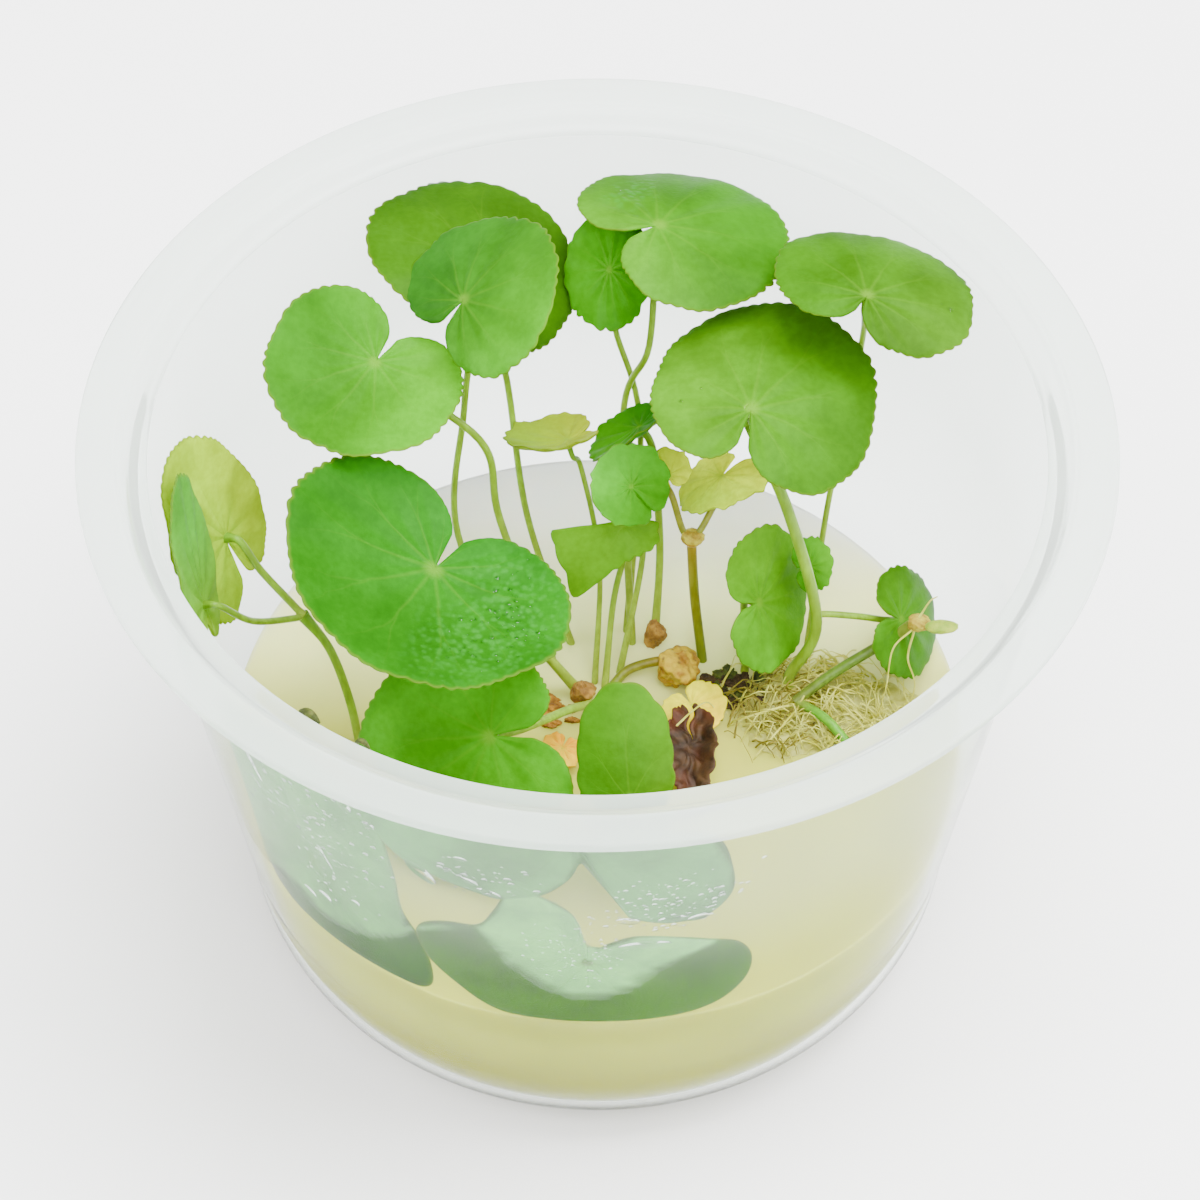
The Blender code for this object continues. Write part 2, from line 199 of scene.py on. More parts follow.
print(f"fog outline of {len(FOGGED)} corners with {len(WINDOWS)} windows")

# %% [markdown]
# Shader trees and Geometry Nodes trees are both node trees, so one small helper adds a node to either, sets
# its options, and either links a socket or gives it a plain value. Chains of arithmetic get a helper of
# their own.

# %% Node helpers
NODE_NAMES = {"ior": "IOR", "specular": "Specular IOR Level"}


def add(tree, kind, inputs=None, **options):
    """Adds a node. A socket among the inputs is linked, and anything else is set as the socket's value."""
    node = tree.nodes.new(kind)
    for name, value in options.items():
        setattr(node, name, value)
    for name, value in (inputs or {}).items():
        if isinstance(value, bpy.types.NodeSocket):
            tree.links.new(value, node.inputs[name])
        else:
            node.inputs[name].default_value = value
    return node


def calc(tree, operation, *values, clamp=False):
    """One step of arithmetic, as an output socket."""
    inputs = dict(enumerate(values))
    return add(tree, "ShaderNodeMath", inputs, operation=operation, use_clamp=clamp).outputs[0]


def fade(tree, value, start, stop, low=0.0, high=1.0):
    """Goes smoothly from low to high as value goes from start to stop."""
    inputs = {"Value": value, "From Min": start, "From Max": stop, "To Min": low, "To Max": high}
    return add(tree, "ShaderNodeMapRange", inputs, interpolation_type="SMOOTHSTEP").outputs["Result"]


def blend(tree, share, first, second, kind="MIX"):
    """A mix of two colours, as an output socket."""
    node = add(tree, "ShaderNodeMix", data_type="RGBA", blend_type=kind)
    for index, value in ((0, share), (6, first), (7, second)):
        if isinstance(value, bpy.types.NodeSocket):
            tree.links.new(value, node.inputs[index])
        elif index == 0:
            node.inputs[index].default_value = value
        else:
            node.inputs[index].default_value = (*value[:3], 1)
    return node.outputs[2]


def noise(tree, place, scale, detail=3.0, roughness=0.55):
    """Soft noise over a place socket, as a number around a half."""
    inputs = {"Vector": place, "Scale": scale, "Detail": detail, "Roughness": roughness}
    return add(tree, "ShaderNodeTexNoise", inputs).outputs["Fac"]


def shaded(tree, colour, number):
    """A colour made darker or lighter by a number."""
    grain = add(tree, "ShaderNodeCombineColor", {0: number, 1: number, 2: number}).outputs[0]
    return blend(tree, 1.0, colour, grain, "MULTIPLY")


def skin(tree, colour, roughness, **others):
    """A Principled surface. The other inputs are named in lower case with underscores."""
    inputs = {"Base Color": colour, "Roughness": roughness}
    inputs |= {NODE_NAMES.get(name, name.replace("_", " ").title()): value for name, value in others.items()}
    return add(tree, "ShaderNodeBsdfPrincipled", inputs).outputs[0]


def let_through(tree, share, surface, colour, **others):
    """A surface of which a share is translucent."""
    glow = add(tree, "ShaderNodeBsdfTranslucent", {"Color": colour, **others}).outputs[0]
    return add(tree, "ShaderNodeMixShader", {0: share, 1: surface, 2: glow}).outputs[0]


def new_material(name):
    """An empty node material: the material, its tree and the Object coordinates."""
    made = bpy.data.materials.new(name)
    made.use_nodes = True
    made.node_tree.nodes.clear()
    return made, made.node_tree, add(made.node_tree, "ShaderNodeTexCoord").outputs["Object"]


def worn(material, surface):
    """The material, with the surface joined to its output."""
    output = add(material.node_tree, "ShaderNodeOutputMaterial")
    material.node_tree.links.new(surface, output.inputs["Surface"])
    return material


def dents(tree, height, distance, strength):
    """A bump of the given depth in metres, as a normal socket."""
    inputs = {"Height": height, "Distance": distance, "Strength": strength}
    return add(tree, "ShaderNodeBump", inputs).outputs["Normal"]


print("node helpers ready")

# %% [markdown]
# Every mesh is built at its final place, in metres, so its object stays at the origin. Settling it takes
# two calls: it rides on the one body, and it may stand for CAD nodes, which are then hidden.

# %% Mesh helpers


def new_object(name, mesh):
    """An object in the scene that shows a mesh, a lamp or the like."""
    made = bpy.data.objects.new(name, mesh)
    bpy.context.scene.collection.objects.link(made)
    return made


def settle(piece, slot, *nodes):
    """The piece belongs to the plant in its cup and stands for the given CAD nodes. The slot is not used."""
    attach(piece, "root")
    if nodes:
        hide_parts(*nodes)
    return piece


def smooth_mesh(name, points, faces, material):
    """A smooth-shaded object from points in millimetres."""
    mesh = bpy.data.meshes.new(name)
    mesh.from_pydata([tuple(p) for p in np.asarray(points) * MM], [], faces)
    mesh.materials.append(material)
    mesh.shade_smooth()
    return new_object(name, mesh)


def from_bmesh(name, bm, material):
    """A smooth-shaded object from a bmesh, which is used up."""
    mesh = bpy.data.meshes.new(name)
    bm.to_mesh(mesh)
    bm.free()
    mesh.materials.append(material)
    mesh.shade_smooth()
    return new_object(name, mesh)


def grid_faces(rows, columns, first=0):
    """The faces of a grid of points, whose first point has the number first."""
    corners = [first + r * columns + c for r in range(rows - 1) for c in range(columns - 1)]
    return [(i, i + columns, i + columns + 1, i + 1) for i in corners]


def cad_nodes(name):
    """The name in a list where the CAD has such a node, and else an empty list."""
    return [name] if name in frame["nodes"] else []


def vertex_numbers(mesh, name, values):
    """Stores one number for each vertex."""
    mesh.attributes.new(name, "FLOAT", "POINT").data.foreach_set("value", np.asarray(values, np.float32))


print("mesh helpers ready")

# %% [markdown]
# Stalks, runners and roots are all round tubes along a path, so one Geometry Nodes tree makes them all. Its
# source is a mesh of loose edges, with the tube's radius stored on each vertex as girth. Mesh to Curve
# joins the edges up, and Curve to Mesh sweeps a circle along them, scaled by girth. The numbers on the
# vertices pass through to the skin, so a material can still read how far along the stalk it is.

# %% Tubes tree


def new_tree(name, sockets):
    """A Geometry Nodes tree with named inputs: the tree, its input node and its output node."""
    tree = bpy.data.node_groups.new(name, "GeometryNodeTree")
    tree.interface.new_socket("Geometry", in_out="INPUT", socket_type="NodeSocketGeometry")
    tree.interface.new_socket("Geometry", in_out="OUTPUT", socket_type="NodeSocketGeometry")
    for label, kind in sockets.items():
        tree.interface.new_socket(label, in_out="INPUT", socket_type=kind)
    return tree, tree.nodes.new("NodeGroupInput").outputs, tree.nodes.new("NodeGroupOutput").inputs


def named_number(tree, name):
    """The number stored under a name on each vertex."""
    return add(tree, "GeometryNodeInputNamedAttribute", {"Name": name}, data_type="FLOAT").outputs[0]


def finish_tree(tree, geometry, material, output):
    """Realizes, smooths and paints what a tree made."""
    real = add(tree, "GeometryNodeRealizeInstances", {"Geometry": geometry}).outputs[0]
    smooth = add(tree, "GeometryNodeSetShadeSmooth", {"Geometry": real}).outputs[0]
    painted = add(tree, "GeometryNodeSetMaterial", {"Geometry": smooth, "Material": material}).outputs[0]
    tree.links.new(painted, output)


tubes_tree, given, made = new_tree("tubes", {"Sides": "NodeSocketInt", "Material": "NodeSocketMaterial"})
paths = add(tubes_tree, "GeometryNodeMeshToCurve", {"Mesh": given["Geometry"]}).outputs[0]
ring = add(tubes_tree, "GeometryNodeCurvePrimitiveCircle", {"Resolution": given["Sides"], "Radius": 1.0})
sweep = {"Curve": paths, "Profile Curve": ring.outputs[0], "Scale": named_number(tubes_tree, "girth")}
tube = add(tubes_tree, "GeometryNodeCurveToMesh", sweep | {"Fill Caps": True}).outputs[0]
finish_tree(tubes_tree, tube, given["Material"], made["Geometry"])
print("tubes tree ready")

# %% [markdown]
# A tree does its work as a modifier on a source object. Its inputs are set by their identifiers, the result
# is read from the evaluated object into a plain mesh, and the modifier and the source are thrown away. For
# tubes the source is a path, which a Catmull-Rom curve smooths first, so it passes through every given
# point.

# %% Growing


def grown(name, source, tree, **settings):
    """The plain mesh that a Geometry Nodes tree makes from a source object, which is used up."""
    modifier = source.modifiers.new("grow", "NODES")
    modifier.node_group = tree
    for item in tree.interface.items_tree:
        label = item.name.replace(" ", "_").lower()
        if item.item_type == "SOCKET" and item.in_out == "INPUT" and label in settings:
            modifier[item.identifier] = settings[label]
    bpy.context.view_layer.update()
    seen = source.evaluated_get(bpy.context.evaluated_depsgraph_get())
    mesh = bpy.data.meshes.new_from_object(seen)
    source.modifiers.clear()
    bpy.data.objects.remove(source)
    return new_object(name, mesh)


def smooth_route(points, steps):
    """Points on a Catmull-Rom curve through the given ones, steps to each stretch."""
    points = [Vector(p) for p in points]
    ends = [points[0] * 2 - points[1], *points, points[-1] * 2 - points[-2]]
    route = []
    for before, start, stop, after in zip(ends, ends[1:], ends[2:], ends[3:]):
        for step in range(steps):
            t = step / steps
            pull = (stop - before) * t + (before * 2 - start * 5 + stop * 4 - after) * t * t
            route.append(start + (pull + (start * 3 - before - stop * 3 + after) * t**3) / 2)
    return [*route, points[-1]]


def tubes(name, strands, material, sides=12):
    """Round strands as one mesh. Each strand is a list of points and a list of radii, in millimetres."""
    places, edges, girths, along = [], [], [], []
    for route, radii in strands:
        first = len(places)
        places += [tuple(Vector(p) * MM) for p in route]
        girths += [r * MM for r in radii]
        along += [i / (len(route) - 1) for i in range(len(route))]
        edges += [(first + i, first + i + 1) for i in range(len(route) - 1)]
    mesh = bpy.data.meshes.new(name)
    mesh.from_pydata(places, edges, [])
    vertex_numbers(mesh, "girth", girths)
    vertex_numbers(mesh, "along", along)
    return grown(name, new_object(name + "_paths", mesh), tubes_tree, sides=sides, material=material)


print("growing helpers ready")

# %% [markdown]
# Water beads sit on the leaves and fog the inside of the cup. Each bead is a squashed ball that points away
# from the surface it sits on. A second tree scatters points over a patch, keeps them a little apart, and
# puts a ball of 80 faces on each at a random size, longer one way where drops have run. The patch carries a
# number called wet, which thins the beads out towards its border. The seed is fixed, so every run gives the
# same beads.

# %% Beads tree
BEAD_SIZES = ("Spacing", "Density", "Smallest", "Largest", "Flatness", "Stretch", "Slant")
BEAD_SOCKETS = {label: "NodeSocketFloat" for label in BEAD_SIZES}
BEAD_SOCKETS |= {"Seed": "NodeSocketInt", "Material": "NodeSocketMaterial"}
MOSTLY_SMALL = 2.5
BEAD_FACES = 80

beads_tree, given, made = new_tree("beads", BEAD_SOCKETS)
scattering = {
    "Mesh": given["Geometry"],
    "Distance Min": given["Spacing"],
    "Density Max": given["Density"],
    "Density Factor": named_number(beads_tree, "wet"),
    "Seed": given["Seed"],
}
scatter = add(
    beads_tree, "GeometryNodeDistributePointsOnFaces", scattering, distribute_method="POISSON"
).outputs
chance = add(beads_tree, "FunctionNodeRandomValue", data_type="FLOAT")
beads_tree.links.new(given["Seed"], chance.inputs["Seed"])
skewed = calc(beads_tree, "POWER", chance.outputs[1], MOSTLY_SMALL)
span = calc(beads_tree, "SUBTRACT", given["Largest"], given["Smallest"])
size = calc(beads_tree, "MULTIPLY_ADD", skewed, span, given["Smallest"])
low = calc(beads_tree, "MULTIPLY", size, given["Flatness"])
long = calc(beads_tree, "MULTIPLY", size, given["Stretch"])
bead_scale = add(beads_tree, "ShaderNodeCombineXYZ", {"X": long, "Y": size, "Z": low}).outputs[0]
spin = add(beads_tree, "FunctionNodeAxisAngleToRotation", {"Axis": (0, 0, 1), "Angle": given["Slant"]})
turning = {"Rotation": scatter["Rotation"], "Rotate By": spin.outputs[0]}
slanted = add(beads_tree, "FunctionNodeRotateRotation", turning, rotation_space="LOCAL").outputs[0]
ball = add(beads_tree, "GeometryNodeMeshIcoSphere", {"Radius": 1.0, "Subdivisions": 2}).outputs["Mesh"]
placed = {"Points": scatter["Points"], "Instance": ball, "Rotation": slanted, "Scale": bead_scale}
beads = add(beads_tree, "GeometryNodeInstanceOnPoints", placed).outputs[0]
finish_tree(beads_tree, beads, given["Material"], made["Geometry"])
print("beads tree ready")

# %% [markdown]
# A leaf blade of pennywort is a thin round disc on a stalk that meets it near the middle, at the foot of a
# notch. Its skin is waxy and smooth. About a dozen pale veins run out from the stalk and fork once before
# the margin, and the margin itself is a thin pale line. The blade has its own map: turn round the stalk,
# and share of the way to the margin. The veins are drawn from that map with arithmetic, so they stay sharp
# at any distance. Some light also comes through a blade, which a translucent share gives. Where the number
# called wet says so, small cells of dew stand out from the skin, and a painted sheen makes them a lighter,
# bluer green.

# %% Leaf finish
VEINS = 11
VEIN_FORK = 0.42
VEIN_TONE = (0.16, 0.34, 0.015)
MARGIN_TONE = (0.10, 0.16, 0.008)
DEW_SHEEN_TONE = (0.036, 0.25, 0.026)
DEW_SCALE = 1500


def leaf_finish(name, roughness, through, vein_share, through_tint, dewy=False):
    """A waxy blade whose colour comes from the tone stored on its vertices, with painted light and shade in
    it, and with dew where it is wet, which has a painted sheen.
    """
    made, tree, place = new_material(name)
    tone = add(tree, "ShaderNodeAttribute", attribute_name="tone").outputs["Color"]
    blade = add(tree, "ShaderNodeSeparateXYZ", {0: add(tree, "ShaderNodeUVMap", uv_map="blade").outputs[0]})
    turn, share = blade.outputs["X"], blade.outputs["Y"]
    wander = calc(tree, "MULTIPLY", calc(tree, "SUBTRACT", noise(tree, place, 220, 2), 0.5), 0.25)
    spoke = calc(tree, "FRACT", calc(tree, "MULTIPLY_ADD", turn, float(VEINS), wander))
    aside = calc(tree, "ABSOLUTE", calc(tree, "SUBTRACT", spoke, 0.5))
    fork = fade(tree, share, VEIN_FORK, 1.05, 0.0, 0.27)
    off_vein = calc(tree, "MULTIPLY", calc(tree, "ABSOLUTE", calc(tree, "SUBTRACT", aside, fork)), share)
    breadth = fade(tree, share, 0.0, 1.0, 0.030, 0.012)
    vein = calc(tree, "SUBTRACT", 1.0, calc(tree, "DIVIDE", off_vein, breadth), clamp=True)
    fading = fade(tree, share, 0.10, 0.95, 1.0, 0.15)
    vein = calc(tree, "MULTIPLY", vein, fading)
    heart = fade(tree, share, 0.02, 0.11, 0.45, 0.0)
    pale_share = calc(tree, "MAXIMUM", calc(tree, "MULTIPLY", vein, vein_share), heart)
    margin = fade(tree, share, 0.97, 0.998, 0.0, 0.6)
    broad = fade(tree, noise(tree, place, 130, 2), 0.3, 0.7, 0.80, 1.22)
    fine = fade(tree, noise(tree, place, 1400, 4), 0.25, 0.75, 0.90, 1.10)
    colour = shaded(tree, tone, calc(tree, "MULTIPLY", broad, fine))
    colour = blend(tree, pale_share, colour, VEIN_TONE)
    colour = blend(tree, margin, colour, MARGIN_TONE)
    height = calc(tree, "MULTIPLY_ADD", vein, -0.6, noise(tree, place, 2600, 2))
    if dewy:
        wet = add(tree, "ShaderNodeAttribute", attribute_name="wet").outputs["Fac"]
        cells = add(tree, "ShaderNodeTexVoronoi", {"Vector": place, "Scale": DEW_SCALE}, feature="SMOOTH_F1")
        dew = calc(tree, "MULTIPLY", fade(tree, cells.outputs["Distance"], 0.15, 0.55, 1.0, 0.0), wet)
        # Dew cells are painted a lighter, bluer green, a painted sheen of the water; they also stand out as
        # bumps.
        colour = blend(tree, calc(tree, "MULTIPLY", dew, 0.45), colour, DEW_SHEEN_TONE)
        height = calc(tree, "MULTIPLY_ADD", dew, 2.0, height)
    normal = dents(tree, height, 0.00006, 0.5)
    gloss = fade(tree, noise(tree, place, 90, 3), 0.3, 0.7, roughness - 0.06, roughness + 0.08)
    surface = skin(tree, colour, gloss, normal=normal, specular=0.03)
    lit = blend(tree, 1.0, colour, through_tint, "MULTIPLY")
    return worn(made, let_through(tree, through, surface, lit, Normal=normal))


WAXY = (0.36, 0.22, 0.13, (1.9, 1.5, 1.0))
leaf_waxy = leaf_finish("leaf_waxy", *WAXY)
leaf_dewy = leaf_finish("leaf_dewy", *WAXY, dewy=True)
leaf_thin = leaf_finish("leaf_thin", 0.46, 0.30, 0.22, (1.6, 1.4, 1.0))
print("leaf finishes:", leaf_waxy.name, leaf_dewy.name, leaf_thin.name)

# %% [markdown]
# The blades are the plant's whole look, so each one gets a fine mesh. A blade is placed by a handful of
# numbers, in millimetres and degrees: where its stalk joins it, how far its face leans and which way, where
# its tip points, its radius and width, how deep its notch is, and how it cups, rolls and skews. Most are
# the same as in the CAD source, and a few blades are moved by up to 2 mm to follow the photograph more
# closely.

# %% Leaf shapes
Leaf = namedtuple("Leaf", "at tilt faces tip radius wide notch cup roll along skew", defaults=(0, 0, 0, 0))
LEAVES = {
    "upper_left": Leaf((-22, 17, 62), 18, -60, 240, 12.3, 0.95, 0.52, 0.12, 0.22, -105),
    "back_left": Leaf((-11, 28.4, 63.2), 25, -30, 65, 11.7, 1.02, 0.20, -0.08, -0.25, -115, 0.15),
    "back_near": Leaf((-13.2, 20.0, 67.6), 36, -165, 30, 10.6, 1.20, 0.50, 0.04, -0.22, -145, -0.1),
    "top_centre": Leaf((6, 29.8, 68.2), 8, 45, 28, 13.9, 0.97, 0.55, -0.12, -0.17, 68),
    "dark_back": Leaf((1.2, 29.6, 62.2), 34, -95, 180, 4.7, 1.38, 0.05, 0.05, -0.40, 0),
    "top_right": Leaf((26.4, 18.2, 70), 8, -45, 65, 11.6, 1.09, 0.70, -0.20, -0.18, 15),
    "right_large": Leaf((15, 9.5, 63), 9, -50, 80, 15.3, 0.85, 0.47, -0.05, -0.30, 60, -0.1),
    "front_large": Leaf((-16, -1.5, 52), 17, -35, 240, 15.6, 1.12, 0.49, 0.22, 0.09, 84),
    "front_low": Leaf((-10.5, -12, 39), 47, 240, 186, 15.8, 0.85, 0.50, -0.18, 0.12, 95, 0.2),
    "front_oval": Leaf((3.2, -19.8, 38.4), 45, -95, 90, 11.8, 0.42, 0.05),
    "centre_small": Leaf((3.3, 10.6, 50.6), 34, -38, 143, 4.4, 1.17, 0.04, 0.05),
    "edge_on": Leaf((-3, 16.6, 51), 34, 120, 193, 6.2, 1.20, 0.45, 0.20, 0.15),
    "small_folded": Leaf((4.3, 19.0, 50.3), 40, 150, 200, 6.0, 0.85, 0.45, 0.10, 0.25, 90),
    "low_bright": Leaf((2.6, 12.6, 42.6), 45, -95, -90, 7.6, 1.0, 0.05),
    "young_left": Leaf((7.0, 14.5, 48), 35, -60, 120, 3.0, 1.10, 0.40, 0.10),
    "young_right": Leaf((12.6, 16.2, 46), 30, 160, 228, 5.0, 1.27, 0.20, 0.0, -0.20, 134),
    "kidney_right": Leaf((16.2, 6.6, 37.6), 60, -40, 8, 8.6, 1.04, 0.55, -0.04, -0.16, -10),
    "far_right": Leaf((30.8, 7.5, 34), 55, -32, -5, 8.0, 0.87, 0.60, -0.20, -0.10, -163),
    "far_left": Leaf((-37.0, 4.8, 49.6), 101, 150, 152, 15.2, 0.52, 0.35, 0.0, -0.22, 90, -0.15),
    "far_left_near": Leaf((-38.7, -4.6, 50.2), 102, 164, 161, 15.0, 0.34, 0.85, 0.0, 0.06, 90),
    "behind_stalk": Leaf((21.4, 9.8, 39.6), 60, -60, 30, 2.9, 1.2, 0.30),
    "wall_left": Leaf((-27.0, -26.1, 37.6), 99, 224, 44, 11.5, 1.20, 0.05),
    "wall_front": Leaf((-1.0, -38.1, 36.4), 99, 270, 90, 10.2, 1.75, 0.05),
    "wall_high": Leaf((-2.2, -41.8, 60.0), 81, 270, 90, 10.0, 1.40, 0.05),
    "yellow": Leaf((9.6, 1.4, 27.6), 15, -100, -60, 3.7, 1.05, 0.30, 0.10),
    "brown": Leaf((9.4, -4.6, 28.0), 10, -90, -90, 6.6, 0.42, 0.12, 0.0, 1.3, 90),
    "scrap": Leaf((-3.6, -4.0, 27.2), 12, -60, -110, 2.8, 0.90, 0.30, 0.10),
}


def leaf_axes(leaf):
    """A leaf's unit vectors: to its tip, to its side and out of its upper face."""
    tilt, faces, tip = (math.radians(a) for a in (leaf.tilt, leaf.faces, leaf.tip))
    normal = Vector((math.sin(tilt) * math.cos(faces), math.sin(tilt) * math.sin(faces), math.cos(tilt)))
    ahead = Vector((math.cos(tip), math.sin(tip), 0))
    ahead = (ahead - normal * ahead.dot(normal)).normalized()
    return ahead, normal.cross(ahead), normal


print(f"{len(LEAVES)} leaves placed")

# %% [markdown]
# No two blades have the same green: young ones are yellow-green and old ones deep green, and a blade in
# its neighbour's shade gets a darker tone, which is painted shade. A look is a blade's tone, a lighter tone
# for one side of it, which is painted light, and the shape of its margin.

# %% Leaf looks
# Each leaf's looks: its tone, partly its own green and partly painted shade, the lighter tone, which is
# painted light, and which way round the blade that lies, as a turn in degrees, then how far apart its
# scallops are and how deep, and how far the margin ruffles, in millimetres
Look = namedtuple("Look", "tone light side pitch depth ruffle", defaults=(0, 1.5, 0.28, 0.24))
LOOKS = {
    "upper_left": Look((0.026, 0.150, 0.001), (0.066, 0.29, 0.002), 120),
    "back_left": Look((0.028, 0.105, 0.001), (0.024, 0.090, 0.001), 0),
    "back_near": Look((0.018, 0.105, 0.006), (0.048, 0.235, 0.003), -75),
    "top_centre": Look((0.026, 0.135, 0.001), (0.062, 0.21, 0.005), 180),
    "dark_back": Look((0.032, 0.20, 0.001), (0.040, 0.22, 0.001), 0),
    "top_right": Look((0.032, 0.130, 0.001), (0.044, 0.135, 0.003), -90),
    "right_large": Look((0.033, 0.130, 0.001), (0.062, 0.20, 0.003), 90),
    "front_large": Look((0.014, 0.115, 0.002), (0.012, 0.130, 0.003), 150),
    "front_low": Look((0.046, 0.25, 0.001), (0.052, 0.25, 0.001), 90),
    "front_oval": Look((0.036, 0.155, 0.001), (0.058, 0.17, 0.001), -90),
    "centre_small": Look((0.046, 0.25, 0.002), (0.060, 0.30, 0.010), 0, 3.4, 0.45),
    "edge_on": Look((0.26, 0.32, 0.001), (0.18, 0.30, 0.001), 0, 1.8, 0.3),
    "small_folded": Look((0.014, 0.13, 0.001), (0.042, 0.21, 0.001), 0, 1.6, 0.3),
    "low_bright": Look((0.085, 0.25, 0.001), (0.12, 0.32, 0.001), 180, 1.8, 0.35),
    "young_left": Look((0.48, 0.56, 0.002), (0.38, 0.48, 0.001), 0, 1.6, 0.3),
    "young_right": Look((0.62, 0.70, 0.004), (0.44, 0.60, 0.002), 0, 1.8, 0.35),
    "kidney_right": Look((0.062, 0.24, 0.001), (0.076, 0.25, 0.001), 90, 1.6, 0.25),
    "far_right": Look((0.042, 0.17, 0.002), (0.036, 0.135, 0.001), 90, 1.7, 0.3),
    "far_left": Look((0.28, 0.46, 0.001), (0.28, 0.40, 0.002), 90, 1.5, 0.3),
    "far_left_near": Look((0.050, 0.23, 0.014), (0.26, 0.47, 0.010), 180),
    "behind_stalk": Look((0.030, 0.17, 0.001), (0.060, 0.24, 0.002), 0, 1.3, 0.3),
    "wall_left": Look((0.020, 0.085, 0.001), (0.14, 0.39, 0.10)),
    "wall_front": Look((0.038, 0.125, 0.002), (0.21, 0.54, 0.15)),
    "wall_high": Look((0.038, 0.115, 0.003), (0.13, 0.36, 0.10)),
    "yellow": Look((0.80, 0.76, 0.002), (0.76, 0.60, 0.002), 0, 1.6, 0.3),
    "scrap": Look((0.62, 0.30, 0.001), (0.68, 0.50, 0.001), 0, 1.6, 0.4),
}
print(f"{len(LOOKS)} looks")

# %% [markdown]
# The middle surface of a blade is worked out for a grid of shares, from the stalk to the margin, and turns
# round the stalk. The margin is cut into small rounded scallops, about 1.5 mm apart. The sine's absolute
# value has round tops and sharp dips, which is their shape, and slower sines keep them from being alike.

# %% Blade surface
NOTCH_EDGE = math.radians(172)


def waves(angle, seed, counts, size):
    """A sum of sines with fixed, unrelated phases."""
    return sum(size * np.sin(count * angle + seed * 2.3 + count) for count in counts)


def blade_grid(leaf, look, share, turn, seed):
    """The middle surface of a blade at shares and turns, in millimetres, with its unit normals."""
    ahead, side, normal = (np.array(axis) for axis in leaf_axes(leaf))
    scallops = round(2 * NOTCH_EDGE * leaf.radius / look.pitch)
    beat = turn / (2 * NOTCH_EDGE) * math.pi * scallops + waves(turn, seed, (2, 5, 9), 0.6)
    size = look.depth / leaf.radius * (1 + waves(turn, seed, (3, 7, 12), 0.24))
    near_margin = np.clip((share - 0.80) / 0.20, 0, 1) ** 2
    scallop = 1 - near_margin * size * (1 - np.abs(np.sin(beat)))
    uneven = 1 + share * waves(turn, seed, (4, 7, 10), 0.008)
    reach = share * np.cos(turn / 2) ** leaf.notch * (1 + leaf.skew * np.sin(turn)) * scallop * uneven
    u, v = reach * np.cos(turn), reach * np.sin(turn) * leaf.wide
    along = math.radians(leaf.along)
    bend = leaf.cup * (u * u + v * v) + leaf.roll * (u * math.cos(along) + v * math.sin(along)) ** 2
    ruffle = share**4 * waves(turn, seed, (5, 8, 13), look.ruffle / 3)
    pleat = share * (1 - share) * 0.35 * np.cos(turn * VEINS)
    flat = np.multiply.outer(u, ahead) + np.multiply.outer(v, side) + np.multiply.outer(bend, normal)
    return np.array(leaf.at) + flat * leaf.radius + np.multiply.outer(ruffle + pleat, normal)


def grid_normals(points, normal):
    """Unit normals of a grid of points that is rings by turns, on the same side as normal."""
    outward = np.gradient(points, axis=0)
    around = np.gradient(points, axis=1)
    found = np.cross(outward, around)
    found /= np.linalg.norm(found, axis=2, keepdims=True) + 1e-12
    facing = np.sign((found * np.array(normal)).sum(axis=2, keepdims=True))
    return found * np.where(facing == 0, 1, facing)


print("blade surface ready")

# %% [markdown]
# Two blades are covered with fine dew on one lobe. The finish draws it, with a painted sheen, and each
# vertex only has to say how wet it is.

# %% Dew on blades
# Where fine dew covers a blade: turns from and to in degrees, and shares of the way to the margin from and to
DEWY = {"blade_front_large": (10, 150, 0.25, 1.0), "blade_top_centre": (60, 120, 0.3, 0.8)}


def dew_on(name, maps):
    """How wet each vertex of a blade is, highest in the middle of the dewy part."""
    start, stop, near, far = DEWY[name]
    turns = np.degrees((maps[:, 0] - 0.5) * math.tau)
    across = np.clip((turns - start) / (stop - start), 0, 1)
    along = np.clip((maps[:, 1] - near) / (far - near), 0, 1)
    return np.sqrt(np.sin(np.pi * across) * np.sin(np.pi * along) + 1e-9)


print(f"dew on {len(DEWY)} blades")

# %% [markdown]
# A blade is a closed mesh: two sheets of rings, fanned out from the stalk, that meet in a thin margin. A
# deep notch stays open, and a shallow one is closed to a hair. Every vertex gets its tone, and the blade's
# own map of turn and share gets stored as a UV map.

# %% Blade mesh
CLOSED_EDGE = math.radians(179.9)
OPEN_NOTCH = 0.1
SCALLOP_STEPS = 6
HALF_THICKNESS = 0.16
MARGIN_THICKNESS = 0.03
MARGIN_BEVEL = 0.9
TONE_STEEPNESS = 1.5
RINGS = (
    0.03, 0.07, 0.12, 0.19, 0.27, 0.35, 0.43, 0.51, 0.59,
    0.67, 0.74, 0.80, 0.86, 0.91, 0.945, 0.97, 0.988, 1.0,
)


def blade_faces(count):
    """The faces of two sheets, with count points to a ring, and of the margin and notch that join them."""
    sheet_size = 1 + len(RINGS) * count
    faces = []
    for start in (0, sheet_size):
        fan = [(start, start + 1 + i, start + 2 + i) for i in range(count - 1)]
        fan += grid_faces(len(RINGS), count, start + 1)
        faces += [tuple(reversed(face)) for face in fan] if start else fan
    last = 1 + (len(RINGS) - 1) * count
    faces += [(a + 1, a, a + sheet_size, a + 1 + sheet_size) for a in range(last, last + count - 1)]
    for edge in (0, count - 1):
        spine = [0] + [1 + r * count + edge for r in range(len(RINGS))]
        for a, b in zip(spine, spine[1:]):
            face = (a, b, b + sheet_size, a + sheet_size)
            faces.append(face if edge else tuple(reversed(face)))
    return faces


